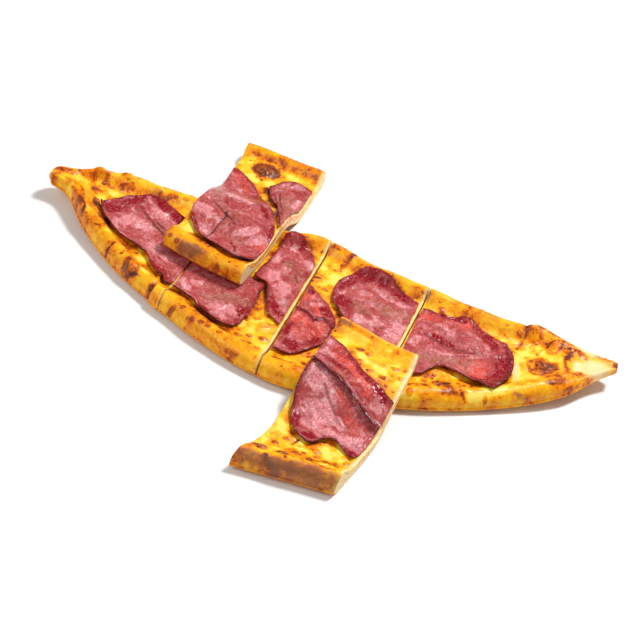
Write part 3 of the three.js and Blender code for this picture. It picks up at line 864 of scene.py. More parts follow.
class Graph(NodeTree):
    """A material's node graph, with one Principled shader at its end."""

    def __init__(self, name):
        self.material = bpy.data.materials.new(name)
        self.material.use_nodes = True
        super().__init__(self.material.node_tree)
        self.shader = self.node("ShaderNodeBsdfPrincipled")
        self.node("ShaderNodeOutputMaterial", {"Surface": self.shader.outputs[0]})
        self.place = self.output("ShaderNodeTexCoord", name="Object")

    def attribute(self, name):
        return self.amount("ShaderNodeAttribute", name="Fac", attribute_name=name)

    def noise(self, size, detail=3.0, roughness=0.55, twist=0.0, place=None):
        """Noise from 0 to 1 whose lumps are about size mm wide."""
        values = {"Vector": place or self.place, "Scale": 1 / (size * MM), "Detail": detail}
        values |= {"Roughness": roughness, "Distortion": twist}
        return self.amount("ShaderNodeTexNoise", values, "Fac")

    def stretched(self, x, y, z, turn):
        """The place on the piece, turned in degrees about Z, then squeezed, for streaks."""
        values = {"Vector": self.place, "Rotation": (0, 0, math.radians(turn)), "Scale": (x, y, z)}
        return self.output("ShaderNodeMapping", values)

    def ramp(self, amount, stops):
        return self.output("ShaderNodeValToRGB", {"Fac": amount}, "Color", stops=stops)

    def blend(self, amount, a, b):
        """Colour a where amount is 0, b where it is 1. A colour is a socket or three numbers."""
        a, b = [(*c, 1) if isinstance(c, tuple) else c for c in (a, b)]
        return self.output("ShaderNodeMix", {0: amount, 6: a, 7: b}, 2, data_type="RGBA")

    def bump(self, height, distance):
        """A normal bent by height, where distance is the height of 1 in mm."""
        values = {"Height": height, "Distance": distance * MM, "Strength": 1.0}
        return self.output("ShaderNodeBump", values)

    def finish(self, colour, roughness, normal=None, **constants):
        """Feeds the shader. Constants are its other sockets, with _ for each space in a name."""
        self.feed(self.shader.inputs["Base Color"], colour)
        self.feed(self.shader.inputs["Roughness"], roughness)
        if normal:
            self.feed(self.shader.inputs["Normal"], normal)
        for name, value in constants.items():
            self.shader.inputs[name.replace("_", " ")].default_value = value
        return self.material


print("an amount has:", ", ".join(name for name in vars(Amount) if name.isalpha()))

# %% [markdown]
# ## Glazed crust, melted cheese and crumb
#
# Toast becomes colour through a ramp: pale yellow, bright yellow, golden, orange, rust, brown, nearly
# black. Dough without glaze is cream. Crust and cheese share the ramp. They differ in their shine and in
# their fine grain. Egg glaze gives the crust a thin clear coat. The cheese is wetter, and its surface is
# full of tiny dimples of fat. Where a knife cut the bread, the crumb is pale, matt and full of small
# holes, with a thin browned edge. The holes are painted darker, as the shade inside them.

# %% Crust and cheese
TOAST_COLOURS = [
    (0.00, (1.00, 0.70, 0.105)),
    (0.13, (0.97, 0.545, 0.016)),
    (0.28, (0.92, 0.375, 0.004)),
    (0.42, (0.82, 0.215, 0.002)),
    (0.56, (0.52, 0.100, 0.003)),
    (0.72, (0.26, 0.043, 0.005)),
    (1.00, (0.070, 0.017, 0.006)),
]
DULL_BROWN = (0.31, 0.125, 0.055)
BARE_DOUGH = (0.88, 0.65, 0.33)


def toasted(graph, grain):
    """The colour of a toasted surface. Grain is the size in mm of its finest mottling.

    Browning comes in crisp blotches with darker rims: the more toasted a place is, the more of them there
    are. Each mark's ring and middle are found from its distance, bent by fine noise, and stay crisp too.
    """
    fine = graph.noise(grain, detail=4)
    specks = graph.noise(grain * 0.35, detail=2)
    slow = graph.noise(grain * 2.2, detail=3, roughness=0.6, twist=1.2)
    toast = graph.attribute("toast")
    spread = slow + (toast - 0.36) * 0.46
    blotch = spread.above(0.585, 0.64)
    rim = spread.within(0.565, 0.595, 0.60, 0.65)
    mark = graph.attribute("mark") + (fine - 0.5) * 0.6
    ring = mark.within(0.55, 0.78, 0.90, 1.08) * graph.attribute("ring")
    middle = mark.below(0.60, 0.90) * graph.attribute("middle")
    # Where the slow noise is low, toast drops: paler patches, partly the own colour and partly painted
    # highlight.
    toast = toast + (fine - 0.5) * 0.34 + (specks - 0.5) * 0.14 - slow.below(0.33, 0.45) * 0.09
    toast = toast + blotch * (fine * 0.24 + 0.01) + rim * specks * 0.22
    toast = toast + ring * (specks * 1.5 - 0.05) + middle * (0.4 + fine * 1.2)
    colour = graph.ramp(toast.clamped(), TOAST_COLOURS)
    bare = (graph.attribute("bare") * (0.5 + fine)).clamped() * toast.below(0.30, 0.50)
    colour = graph.blend(bare, colour, BARE_DOUGH)
    mottled = (graph.attribute("dull") * (0.35 + fine * 1.1)).clamped()
    return graph.blend(mottled * 0.92, colour, DULL_BROWN), fine, specks


crust_graph = Graph("glazed crust")
crust_colour, crust_fine, crust_specks = toasted(crust_graph, 2.2)
crust_grain = crust_graph.bump(crust_fine * 0.7 + crust_specks * 0.3, 0.42)
crust = crust_graph.finish(
    crust_colour, 0.20 + crust_fine * 0.24, crust_grain, Specular_IOR_Level=0.18,
    Coat_Weight=0.09, Coat_Roughness=0.22, Subsurface_Weight=0.05, Subsurface_Scale=0.002,
)

cheese_graph = Graph("melted cheese")
cheese_colour, cheese_fine, cheese_specks = toasted(cheese_graph, 1.7)
cheese_grain = cheese_graph.bump(cheese_fine * 0.6 + cheese_specks * 0.4, 0.50)
cheese = cheese_graph.finish(
    cheese_colour, 0.14 + cheese_fine * 0.20, cheese_grain, Specular_IOR_Level=0.25,
    Subsurface_Weight=0.06, Subsurface_Scale=0.002, Coat_Weight=0.10, Coat_Roughness=0.12,
)
print("finishes:", crust.name, "and", cheese.name)

# %% Crumb
CRUMB_PALE, CRUMB_CREAM, CRUMB_HOLE_SHADE = (0.93, 0.66, 0.30), (0.98, 0.80, 0.48), (0.62, 0.30, 0.085)

crumb_graph = Graph("cut crumb")
holes = crumb_graph.noise(1.1, detail=3, roughness=0.7)
strands = crumb_graph.noise(0.5, detail=2, place=crumb_graph.stretched(0.4, 0.4, 1.0, 0))
crumb_toast = (crumb_graph.attribute("toast") + (strands - 0.5) * 0.2).clamped()
crumb_brown = crumb_graph.ramp(crumb_toast, TOAST_COLOURS)
crumb_edge = (crumb_graph.attribute("rindward") + (holes - 0.5) * 0.4).above(0.35, 0.95)
crumb_colour = crumb_graph.blend(strands, CRUMB_PALE, CRUMB_CREAM)
# Painted shade: the crumb's small holes are coloured darker, as the shade inside them.
crumb_colour = crumb_graph.blend(holes.above(0.58, 0.70), crumb_colour, CRUMB_HOLE_SHADE)
crumb_colour = crumb_graph.blend(crumb_edge, crumb_colour, crumb_brown)
crumb_grain = crumb_graph.bump(holes.below(0.5, 0.7), 0.35)
crumb = crumb_graph.finish(crumb_colour, 0.75, crumb_grain, Subsurface_Weight=0.08, Subsurface_Scale=0.002)
print("finish:", crumb.name)

# %% [markdown]
# ## Bread, slice by slice
#
# Each slice of bread is one grid. Its lines crowd together on the round outside of the rim, where the
# height changes fastest. The two cuts lean a little, as a knife goes, so the places are found by letting
# x and y settle in turns. The cut walls get the crumb, everything else the crust.

# %% Places of a slice
ROLL_STEPS = CREST_INSET * (1 - np.cos(np.linspace(0, math.pi / 2, 11)))
RIM_STEPS = np.concatenate([ROLL_STEPS, np.linspace(CREST_INSET, RIM_WIDTH, 13)[1:]])
SETTLE_TURNS = 8


def across_at(bread, x, inner):
    """Places across the bread at each x: close together on both rims, evenly spread between them."""
    scale = bread.scale(x)[..., None]
    near = bread.near(x)[..., None] + RIM_STEPS * scale / bread.square(bread.near, x)[..., None]
    far = bread.far(x)[..., None] - RIM_STEPS * scale / bread.square(bread.far, x)[..., None]
    share = np.linspace(0, 1, inner + 1)[1:-1]
    middle = mix(near[..., -1:], far[..., -1:], share)
    return np.concatenate([near, middle, far[..., ::-1]], axis=-1)


def slice_places(bread, left, right, columns, inner, crowded):
    """x and y of a slice's grid between two cuts, each a function of y."""
    share = np.linspace(0, 1, columns + 1)[:, None]
    share = crowded(share) if crowded else share
    rows = 2 * len(RIM_STEPS) + inner - 1
    x = mix(left(0.0), right(0.0), share) + np.zeros((columns + 1, rows))
    y = np.zeros_like(x)
    row = np.arange(rows)
    for _ in range(SETTLE_TURNS):
        y = across_at(bread, x, inner)[np.arange(columns + 1)[:, None], row, row]
        x = mix(left(y), right(y), share)
    return x, y


# %% Cuts of the slices
# A cut of the row: its x where y is 0, how much x grows with y, and the width of its gap in mm.
CUTS = {"left": (-77.5, 0.08, 0.8), "middle": (-6.5, 0.05, 1.4), "right": (62.3, 0.07, 1.1)}


def cut_side(cut, side):
    """The left side of a cut, -1, or its right side, 1."""
    x, lean, gap = CUTS[cut]
    return lambda y: x + lean * y + side * gap / 2


def nub_end(y):
    return LEFT_TIP + NUB_DEPTH * clamp(abs(y - NUB_CENTRE) / NUB_HALF) ** 2


# A slice: its bread, its left and right end, how strong and how wide its pale lip is, and its grid.
SLICES = {
    "left_end": dict(
        bread=boat, left=nub_end, right=cut_side("left", -1), cut=("right",), lip=(0.35, 1.3),
        columns=120, inner=44,
    ),
    "left_middle": dict(
        bread=boat, left=cut_side("left", 1), right=cut_side("middle", -1), lip=(1.0, 1.3),
        columns=78, inner=84,
    ),
    "right_middle": dict(
        bread=boat, left=cut_side("middle", 1), right=cut_side("right", -1), lip=(1.1, 1.6),
        columns=78, inner=84,
    ),
    "right_end": dict(
        bread=boat, left=cut_side("right", 1), right=always(RIGHT_TIP), cut=("left",), lip=(0.0, 1.3),
        columns=130, inner=44,
    ),
    "back": dict(
        bread=back, left=line_through([(9, -96.5), (36, -91.5), (62, -88.5), (144, -86)]),
        right=line_through([(-4, -42), (28, -37), (56, -33.5), (137.5, -29)]), lip=(0.8, 1.6),
        columns=62, inner=110,
    ),
    "front": dict(
        bread=front, left=line_through([(-134, 0), (-103, 12), (-86, 14), (-10, 25)]),
        right=line_through([(-129, 58), (-85, 69), (-45, 74), (-22, 75)]), lip=(1.1, 2.4),
        columns=62, inner=100,
    ),
}
print("slices:", ", ".join(SLICES))

# %% Bake the bread
BOTH_CUT = ("left", "right")
WALL_STEPS = 8
OUTSIDE_BULGE = 0.7
KNIFE_ROUGH = 0.22
PALE_TOAST = 0.02
CRUMB_TOAST = 0.36
UNDER_TOAST, UNDER_DULL = 0.30, 0.25
CUT_DROP = 0.35
LIP_RISE = 1.0
# The columns of the two end slices crowd together towards the tips, because the dough bends there.
CROWDED = {"left_end": lambda t: t**1.2, "right_end": lambda t: 1 - (1 - t) ** 1.2}


def beside_cuts(bread, x, y, left, right, cut, lip):
    """Height in mm and paleness beside the cuts. The knife drags the right edge up into a pale lip."""
    height, pale = np.zeros_like(x), np.zeros_like(x)
    if "left" in cut:
        height -= CUT_DROP * (1 - smooth((x - left(y)) / 0.9))
    if "right" in cut:
        from_cut = right(y) - x
        strength, width = lip
        beside = 1 - smooth((from_cut - 0.3 * width) / width)
        beside *= strength * mix(0.3, 1, smooth((bread.inset(x, y) - 6) / 4))
        pale += beside * (0.9 + 0.4 * lumps(y, y, 4, 77))
        raised = LIP_RISE * beside * (0.7 + 0.6 * lumps(y, y, 5, 78))
        height += raised - CUT_DROP * (1 - smooth(from_cut / 0.6))
    return height, clamp(pale)


def make_pale(baked, pale):
    """Takes toast and glaze off a lip."""
    baked["toast"] = mix(baked["toast"], PALE_TOAST, pale)
    baked["bare"] = np.maximum(baked["bare"], pale)


def bake_bread(name, bread, left, right, lip, columns, inner, cut=BOTH_CUT):
    x, y = slice_places(bread, left, right, columns, inner, CROWDED.get(name))
    lipped, pale = beside_cuts(bread, x, y, left, right, cut, lip)
    top = crust_height(bread, x, y) + lipped
    baked = toast_at(bread, x, y)
    make_pale(baked, pale)

    def bulge(share, sides, ring):
        knife = KNIFE_ROUGH * rough(ring[:, 0] + ring[:, 1], ring[:, 2], 1.6, 71)
        return np.where(np.isin(sides, cut), knife, OUTSIDE_BULGE * math.sin(math.pi * share))

    def wall_amounts(share, thick, sides, ring, index):
        edge = {key: values.ravel()[index] for key, values in baked.items()}
        across, up = ring[:, 0] + ring[:, 1], ring[:, 2] + 0.4 * ring[:, 0]
        # The outer wall is more toasted towards its foot, where shade falls: partly browning, partly
        # painted shade.
        outer = mix(0.34, edge["toast"] + 0.05, share**2) + 0.12 * rough(across, up, 5, 65)
        knifed = np.isin(sides, cut)
        return {
            "toast": np.where(knifed, CRUMB_TOAST, outer),
            "dull": np.where(knifed, 0, 0.15 * (1 - share) + edge["dull"] * share**1.5),
            "bare": np.where(knifed, 0, edge["bare"] * share),
            "mark": np.where(knifed, FAR_FROM_MARKS, edge["mark"] + 1.4 * (1 - share)),
            "ring": edge["ring"], "middle": edge["middle"] * share,
            "rindward": 1 - smooth(np.minimum(share, 1 - share) * thick / 1.1),
        }

    below = dict.fromkeys(MARK_AMOUNTS, 0 * x)
    below["toast"] = UNDER_TOAST + 0.16 * rough(x, y, 14, 61) + 0.08 * rough(x, y, 3, 63)
    below["dull"], below["mark"] = UNDER_DULL + 0 * x, FAR_FROM_MARKS + 0 * x
    amounts = {key: (baked[key], below[key]) for key in baked} | {"rindward": (1 + 0 * x, 1 + 0 * x)}
    made = shell(x, y, top, bread.underside(x, y), WALL_STEPS, bulge, amounts, wall_amounts)
    points, faces, named, flat, wall_side = made
    finish_index = np.concatenate([np.zeros(flat), np.isin(wall_side, cut)])
    return make_mesh(f"bread-{name}", points, faces, named, [crust, crumb], finish_index)


breads = {name: bake_bread(name, **given) for name, given in SLICES.items()}
tell(breads)

# %% [markdown]
# ## Melted cheese
#
# The cheese flowed before it set. It fills the floor to one level, thins out as it creeps up the rims,
# and ends in an uneven line. Its grid covers only that part, and near its edge it dips just under the
# bread's surface, so that the line where the two meet comes out uneven by itself.

# %% Pour the cheese
CHEESE_EDGE = 3.2
CHEESE_SUNK = 0.18
CHEESE_THIN = 0.04
CHEESE_DEPTH = 0.3
CHEESE_PROUD = 0.12
CHEESE_PATCHES = 0.20
CHEESE_MORE_ROWS = 30
THIN_WALL_STEPS = 4
# Where the cheese stops short of a tip. Elsewhere it runs on to the cut.
CHEESE_ENDS = {"left_end": {"left": -164}, "right_end": {"right": 161}}


def cheese_end(side, ends, cut):
    """One end of the cheese as a function of y: an uneven line, or just outside the cut."""
    if side in ends:
        seed = {"left": 3, "right": 4}[side]
        return lambda y: ends[side] + 3 * rough(y, y, 6, seed)
    proud = CHEESE_PROUD if side == "right" else -CHEESE_PROUD
    return lambda y: cut(y) + proud


def cheese_places(bread, first, last, columns, rows):
    """A grid from one uneven inner line to the other."""
    share = np.linspace(0, 1, columns + 1)[:, None]
    across = np.linspace(0, 1, rows + 1)[None, :]
    creep = CHEESE_INSET - 1.2
    x = mix(first(np.zeros(1)), last(np.zeros(1)), share) + 0 * across
    y = 0 * x
    for _ in range(SETTLE_TURNS):
        scale = bread.scale(x)
        near = (creep + 1.6 * rough(x, x, 7, 51)) * scale / bread.square(bread.near, x)
        far = (creep + 1.6 * rough(x, x, 7, 52)) * scale / bread.square(bread.far, x)
        y = mix(bread.near(x) + near, bread.far(x) - far, across)
        x = mix(first(y), last(y), share)
    return x, y


def pour_cheese(name, bread, left, right, lip, columns, inner, cut=BOTH_CUT):
    ends = CHEESE_ENDS.get(name, {})
    first, last = cheese_end("left", ends, left), cheese_end("right", ends, right)
    x, y = cheese_places(bread, first, last, columns, inner + CHEESE_MORE_ROWS)
    floor = crust_height(bread, x, y) - CHEESE_SUNK
    from_edge = closest(side_distances(x, y), ("near", "far", *ends))
    lipped, pale = beside_cuts(bread, x, y, left, right, cut, lip)
    risen = smooth(from_edge / CHEESE_EDGE)
    top = mix(floor + CHEESE_THIN, cheese_height(bread, x, y), risen) + lipped
    baked = toast_at(bread, x, y)
    baked["toast"] = baked["toast"] + CHEESE_PATCHES * rough(x, y, 6.5, 81)
    make_pale(baked, pale)

    def bulge(share, sides, ring):
        knife = 0.10 * rough(ring[:, 0] + ring[:, 1], ring[:, 2], 1.3, 73)
        return knife + 0.12 * math.sin(math.pi * share)

    def wall_amounts(share, thick, sides, ring, index):
        toast = 0.14 + 0.14 * rough(ring[:, 0], ring[:, 1] + ring[:, 2], 2, 75)
        nothing = 0 * thick
        return dict.fromkeys(MARK_AMOUNTS, nothing) | {"toast": toast, "mark": FAR_FROM_MARKS + nothing}

    amounts = {key: (values, values) for key, values in baked.items()}
    made = shell(x, y, top, floor - CHEESE_DEPTH, THIN_WALL_STEPS, bulge, amounts, wall_amounts)
    return make_mesh(f"cheese-{name}", *made[:3], [cheese])


cheeses = {name: pour_cheese(name, **given) for name, given in SLICES.items()}
tell(cheeses)

# %% [markdown]
# ## Thin slices of cured beef
#
# Pastirma is sliced so thin that light comes through its edge. A slice has a dark rind where the spice
# paste was, deep crimson lean meat beside it, and a paler, pinker middle with a wet shine. That shine is
# painted into the colour: pale pink sheen, with near-white glints in it. A slice drapes: it touches the
# highest things below it, its edge curls up as it warms, and where two slices overlap the upper one climbs
# over the lower. Each slice is a patch stretched between four outline curves. The same patch gives its
# distance from each side, which places the rind, the curls and the colours.

# %% Outline curves and the patch between them
ARC_STEPS = 200
PATCH_CROWD = 0.45


def curve_point(points, t):
    """Catmull-Rom curve through points, at t from 0 to 1."""
    last = len(points) - 1
    place = t * last
    i = np.minimum(np.floor(place).astype(int), last)
    w = (place - i)[..., None]
    p0 = points[np.maximum(i - 1, 0)]
    p1 = points[i]
    p2 = points[np.minimum(i + 1, last)]
    p3 = points[np.minimum(i + 2, last)]
    v0, v1 = (p2 - p0) / 2, (p3 - p1) / 2
    return (2 * (p1 - p2) + v0 + v1) * w**3 + (3 * (p2 - p1) - 2 * v0 - v1) * w**2 + v0 * w + p1


def outline_curve(points):
    """A curve by its share of length."""
    points = np.array(points, float)
    t = np.linspace(0, 1, ARC_STEPS + 1)
    line = curve_point(points, t)
    lengths = np.concatenate([[0], np.cumsum(np.linalg.norm(np.diff(line, axis=0), axis=1))])
    return lambda share: curve_point(points, np.interp(share * lengths[-1], lengths, t))


def outline_curves(sides):
    """Four curves anticlockwise, each up to the next one's start."""
    return [outline_curve([*side, sides[(i + 1) % 4][0]]) for i, side in enumerate(sides)]


def patch(sides, columns, rows):
    """x and y of a grid between four sides: the two blends between opposites, less that of the corners.
    Its lines crowd together a little towards the sides."""
    near, right, far, left = outline_curves(sides)
    shares = [np.linspace(0, 1, count + 1) for count in (columns, rows)]
    u, v = [mix(t, 0.5 - 0.5 * np.cos(math.pi * t), PATCH_CROWD) for t in shares]
    s, t = u[:, None, None], v[None, :, None]
    start, end = np.zeros(1), np.ones(1)
    along = mix(near(u)[:, None], far(1 - u)[:, None], t)
    up = mix(left(1 - v)[None], right(v)[None], s)
    foot = mix(near(start)[None], near(end)[None], s)
    head = mix(far(end)[None], far(start)[None], s)
    grid = along + up - mix(foot, head, t)
    return grid[..., 0], grid[..., 1]


def inside_ring(ring, x, y):
    """True for places inside a closed ring of points."""
    within = np.zeros(x.shape, bool)
    for (ax, ay), (bx, by) in zip(ring, np.roll(ring, -1, axis=0)):
        if ay != by:
            within ^= ((ay > y) != (by > y)) & (x < ax + (bx - ax) * (y - ay) / (by - ay))
    return within


def away_from_slice(sides, points_a_side, x, y):
    """Distance from each place to the outline of a slice, 0 inside it."""
    share = np.linspace(0, 1, points_a_side)[1:]
    ring = np.concatenate([curve(share) for curve in outline_curves(sides)])
    return np.where(inside_ring(ring, x, y), 0, away_from([*ring, ring[0]], x, y))


print("half way along a bent line:", outline_curve([(0, 0), (10, 0), (10, 10)])(np.array([0.5]))[0])

# %% [markdown]
# ## Eleven slices, each with its own colours
#
# A slice's four sides are listed anticlockwise from its near left corner: near, right, far, left. Rind
# names the sides that have one, and curl says how far each of the four curls up in mm. The sides without
# a rind were made by the knife that cut the pide. Tones are soft patches of colour, but "plain" only
# takes the pink away. The pink tones are partly the meat's own colour and partly painted sheen. Creases
# are thin lines pressed into the meat or raised from it. Their darkness is painted shade, and a negative
# darkness is a painted highlight. Size is the number of the grid's columns and rows before it is made
# finer. Beneath names a slice that this one lies on.

# %% Beef on the boat
# Tones are rows like those of the marks. A crease: path, half width, rise, darkness. The darkness is
# painted shade along the crease, and a painted highlight where it is negative.
BEEF_LEFT = {
    "left_end": dict(
        bread=boat, rind="near far left", curl=(1.6, 0, 1.4, 1.4), size=(80, 74),
        sides=(
            [(-141, 20), (-129, 9), (-107, 2), (-96, -10), (-87, -19)], [(-79.9, -20)],
            [(-76.1, 28), (-93, 42), (-110, 52), (-124, 54), (-134, 47)], [(-141, 38), (-147, 30)],
        ),
        tones=[
            ("deep", (-138, 30, 8.4, 4.4, 21), (-131, 44, 13, 4.7, 72), (-112, 49.5, 9, 4.2, -24),
             (-96, 39.5, 11, 4.6, -38), (-109, -1, 13, 2.1, -29), (-91, -11, 9.5, 2.1, -30)),
            ("pink", (-123, 52, 8, 3, -60), (-126, 25, 8.8, 3.4, 48), (-116, 24, 6.8, 4.2, -5),
             (-131, 16, 7.7, 2.1, -54), (-109, 41, 11, 4.2, -34), (-98, 4, 7.5, 1.7, -27),
             (-92, 18, 8.3, 3.4, -43)),
            ("tan", (-103, 25, 12, 3.4, -23)),
            ("coral", (-87, -12, 5.3, 1.7, -33)),
        ],
        creases=[
            ([(-124, 40), (-116, 33), (-102, 23)], 0.7, -0.8, 0.9),
            ([(-112, 33), (-103, 28), (-95, 26)], 0.7, -0.7, 0.8),
            ([(-126, 53), (-124, 40), (-128, 28), (-137, 26)], 0.9, 0.7, -0.6),
            ([(-125, 44), (-115, 35), (-101, 29)], 0.8, 0.7, -0.5),
            ([(-112, 10), (-104, 6)], 0.8, 0.5, -0.5), ([(-102, 4), (-96, -2)], 0.8, 0.5, -0.5),
            ([(-92, -4), (-84, -13)], 0.8, 0.5, -0.4), ([(-138, 24), (-124, 20), (-110, 12)], 1.6, 0.6, 0),
        ],
    ),
    "left_middle_long": dict(
        bread=boat, rind="near right", curl=(1.8, 1.2, 0, 0), size=(70, 64),
        sides=(
            [(-78.4, -22), (-65, -26), (-53, -38), (-43, -40)], [(-31, -33), (-29, -21)],
            [(-29, 8), (-45, 13), (-60, 17)], [(-75.2, 18)],
        ),
        tones=[
            ("deep", (-58, -31, 7, 3, -30), (-34, -24, 4, 7, 20), (-45, -37, 8, 2.5)),
            ("pink", (-45, -23, 8, 5, -10), (-66, -11, 5, 2.6, -30), (-44, -31, 6, 3),
             (-72, -15, 5, 3, -40)),
            ("tan", (-55, -19, 6, 4, -20), (-48, -14, 10, 6), (-34, -13, 5, 4)),
            ("plain", (-54, -13, 13, 7, -15), (-34, -14, 5, 8)),
        ],
        creases=[
            ([(-64, -8), (-52, -16)], 0.7, 0.6, -0.3), ([(-56, -12), (-47, -22)], 0.6, -0.5, 0.4),
            ([(-50, -32), (-42, -27), (-36, -28)], 0.7, 0.5, -0.2),
            ([(-38, -35), (-36, -22), (-33, -12)], 0.5, 0.5, 0.3),
            ([(-52, -36), (-48, -31)], 0.4, -0.4, 0.8),
        ],
    ),
    "left_middle_short": dict(
        bread=boat, rind="far left", curl=(0.5, 0, 1.4, 1.6), size=(56, 84), beneath="left_middle_long",
        sides=(
            [(-20, -15), (-14, -19)], [(-10, -22)], [(-6.9, 41), (-15, 52), (-25, 59)],
            [(-31.5, 55), (-34, 34), (-37.5, 12), (-28, 7), (-23.5, -6)],
        ),
        tones=[
            ("pink", (-31, 35, 4, 6), (-9, 38, 4, 5), (-18, 9, 6, 6), (-23, 48, 4, 2.5), (-28, 20, 4, 5)),
            ("tan", (-22, 34, 5, 5), (-13, 24, 4, 6), (-16, 0, 4, 6)),
            ("deep", (-17, 54, 5, 4, -30), (-10, 49, 4, 5, -20), (-19, -7, 3, 6, 30),
             (-13, -13, 5, 3, -30)),
            ("coral", (-30, 10, 4, 1.6, -20)),
            ("deep", (-30, 54, 3, 3)),
        ],
        creases=[
            ([(-27, 34), (-20, 36)], 0.5, -0.4, 0.6), ([(-15, 25), (-12, 20)], 0.6, -0.5, 0.7),
            ([(-23, 14), (-21, 9)], 0.5, -0.5, 0.7), ([(-19, -6), (-13, -9), (-7, -16)], 0.8, 0.6, -0.5),
            ([(-31, 22), (-24, 17), (-20, 6)], 0.9, 0.6, -0.1), ([(-18, 45), (-16, 38)], 0.6, 0.5, -0.4),
            ([(-12, 4), (-14, -3)], 0.6, -0.5, 0.5),
        ],
    ),
}
BEEF_RIGHT = {
    "right_middle_upper": dict(
        bread=boat, rind="right far", curl=(0, 0, 1, 0), size=(44, 50),
        sides=(
            [(-5.4, -14), (6, -18)], [(17, -15), (20.5, -8), (19, -1)], [(12, 8), (2, 16)], [(-3.9, 21)],
        ),
        tones=[
            ("coral", (-1, 10, 5, 7, -45), (6, 3, 7, 5, -45)),
            ("deep", (13, 1, 5, 3, -45)),
            ("pink", (3, 4, 3, 2, -30)),
            ("deep", (15, -8, 4, 5), (0, 15, 3, 3, -45)),
        ],
        creases=[([(2, 8), (8, -1)], 0.8, 0.5, -0.2), ([(9, 2), (14, -6)], 0.7, -0.4, 0.4)],
    ),
    "right_middle_lower": dict(
        bread=boat, rind="near right far", curl=(1.2, 0.8, 1.6, 0), size=(54, 60),
        beneath="right_middle_upper",
        sides=(
            [(-7, -43), (1, -44)], [(8, -40), (18, -28), (20.5, -18)],
            [(20, -11), (13, -6), (8.5, -10), (2.5, -6)], [(-5, -4)],
        ),
        tones=[
            ("coral", (2, -13, 9, 8, -20), (10, -17, 8, 7, -30), (3, -22, 8, 6)),
            ("deep", (1, -35, 6, 4, 10), (12, -28, 6, 4, 40)),
            ("pink", (6, -30, 4, 3, 30), (-3, -12, 2, 4)),
            ("deep", (-4, -25, 3, 6)),
            ("plain", (4, -20, 12, 9, -25)),
        ],
        creases=[
            ([(-4, -8), (6, -14), (17, -20)], 0.6, 0.5, -0.3),
            ([(-4, -12), (6, -18), (16, -25)], 0.6, 0.5, -0.2), ([(-3, -18), (8, -26)], 0.7, -0.5, 0.4),
            ([(-4, -4.5), (2.5, -7), (8.5, -11), (13, -7), (20, -12)], 1.1, 0.9, 0.75),
        ],
    ),
    "right_middle_far": dict(
        bread=boat, rind="far left", curl=(0, 0, 1, 1.6), size=(76, 72),
        sides=(
            [(24, 1), (35, -5), (50, -8)], [(59.3, -8)],
            [(62.4, 37), (49, 42), (38, 49), (27, 51), (18, 46)], [(11, 34), (12, 17)],
        ),
        tones=[
            ("deep", (16, 35, 4, 7, -20), (26, 45, 8, 4, 20), (38, 43, 8, 4, -25), (51, 38, 8, 3.6, -20),
             (18, 14, 5, 5)),
            ("pink", (15, 27, 2.6, 4), (30, 30, 4, 3), (40, 35, 6, 2.6, -10), (52, 31, 8, 2.4, -12),
             (40, 6, 12, 6, -8), (54, 4, 8, 8)),
            ("tan", (47, 22, 12, 4, -5), (28, 15, 8, 4, -10), (22, 5, 5, 3, -20)),
        ],
        creases=[
            ([(20, 36), (21, 31)], 0.7, 0.4, -0.6), ([(34, 44), (33, 36)], 0.5, 0.3, -0.7),
            ([(24, 22), (36, 24), (48, 21)], 1, 0.6, -0.2),
            ([(30, 12), (42, 12), (54, 14)], 0.7, -0.5, 0.35),
            ([(36, 3), (46, 5), (57, 4)], 0.6, -0.45, 0.5), ([(44, -3), (54, -1)], 0.6, -0.4, 0.5),
        ],
    ),
    "right_end": dict(
        bread=boat, rind="near right far", curl=(2.4, 1.8, 1, 0), size=(90, 76),
        sides=(
            [(62.2, -29), (77, -25), (86, -13), (96, -12), (110, -19)], [(122, -21), (129, -4), (128, 15)],
            [(121, 26), (110, 30), (93, 38), (83, 34)], [(66.2, 35)],
        ),
        tones=[
            ("deep", (90, 34, 10, 2.5, 5), (110, 26, 12, 4.5, -28)),
            ("coral", (74, 28, 10, 5), (98, 32, 14, 4, -8), (112, 25, 7, 3.5, -38)),
            ("deep", (120, -12, 7, 8), (124, 4, 5, 15, 5)),
            ("pink", (113, 17, 6, 3, -20), (69, 4, 5, 6), (88, 0, 8, 1.6, 10)),
            ("tan", (80, -7, 14, 5, -8), (97, -4, 12, 5)),
            ("deep", (84, 11, 7, 2.4, -12)),
            ("pink", (82, 23, 6, 2, -20)),
            ("coral", (110, -4, 9, 7)),
            ("deep", (112, -16, 9, 2.5, -25)),
            ("plain", (112, 8, 15, 14, -20), (84, -4, 18, 6, -8), (98, 28, 20, 6, -15)),
        ],
        creases=[
            ([(73, 12), (85, 8), (93, 7), (103, 9)], 2.2, -1.4, 0.6),
            ([(78, 1), (87, -1), (96, 3), (109, 9)], 1.1, 1, -0.7),
            ([(82, 20), (92, 17), (104, 16)], 1.1, 0.6, -0.2),
            ([(104, 10), (108, 12), (112, 11)], 0.5, -0.5, 0.8), ([(66, 24), (80, 24)], 0.7, 0.4, -0.3),
            ([(70, 14), (74, 8), (72, 0)], 0.7, 0.5, -0.3),
            ([(112, -18), (121, -19), (127, -5), (126.5, 13), (121, 23)], 1, 0.5, 0.75),
        ],
    ),
}
print(len(BEEF_LEFT) + len(BEEF_RIGHT), "slices of beef on the boat")

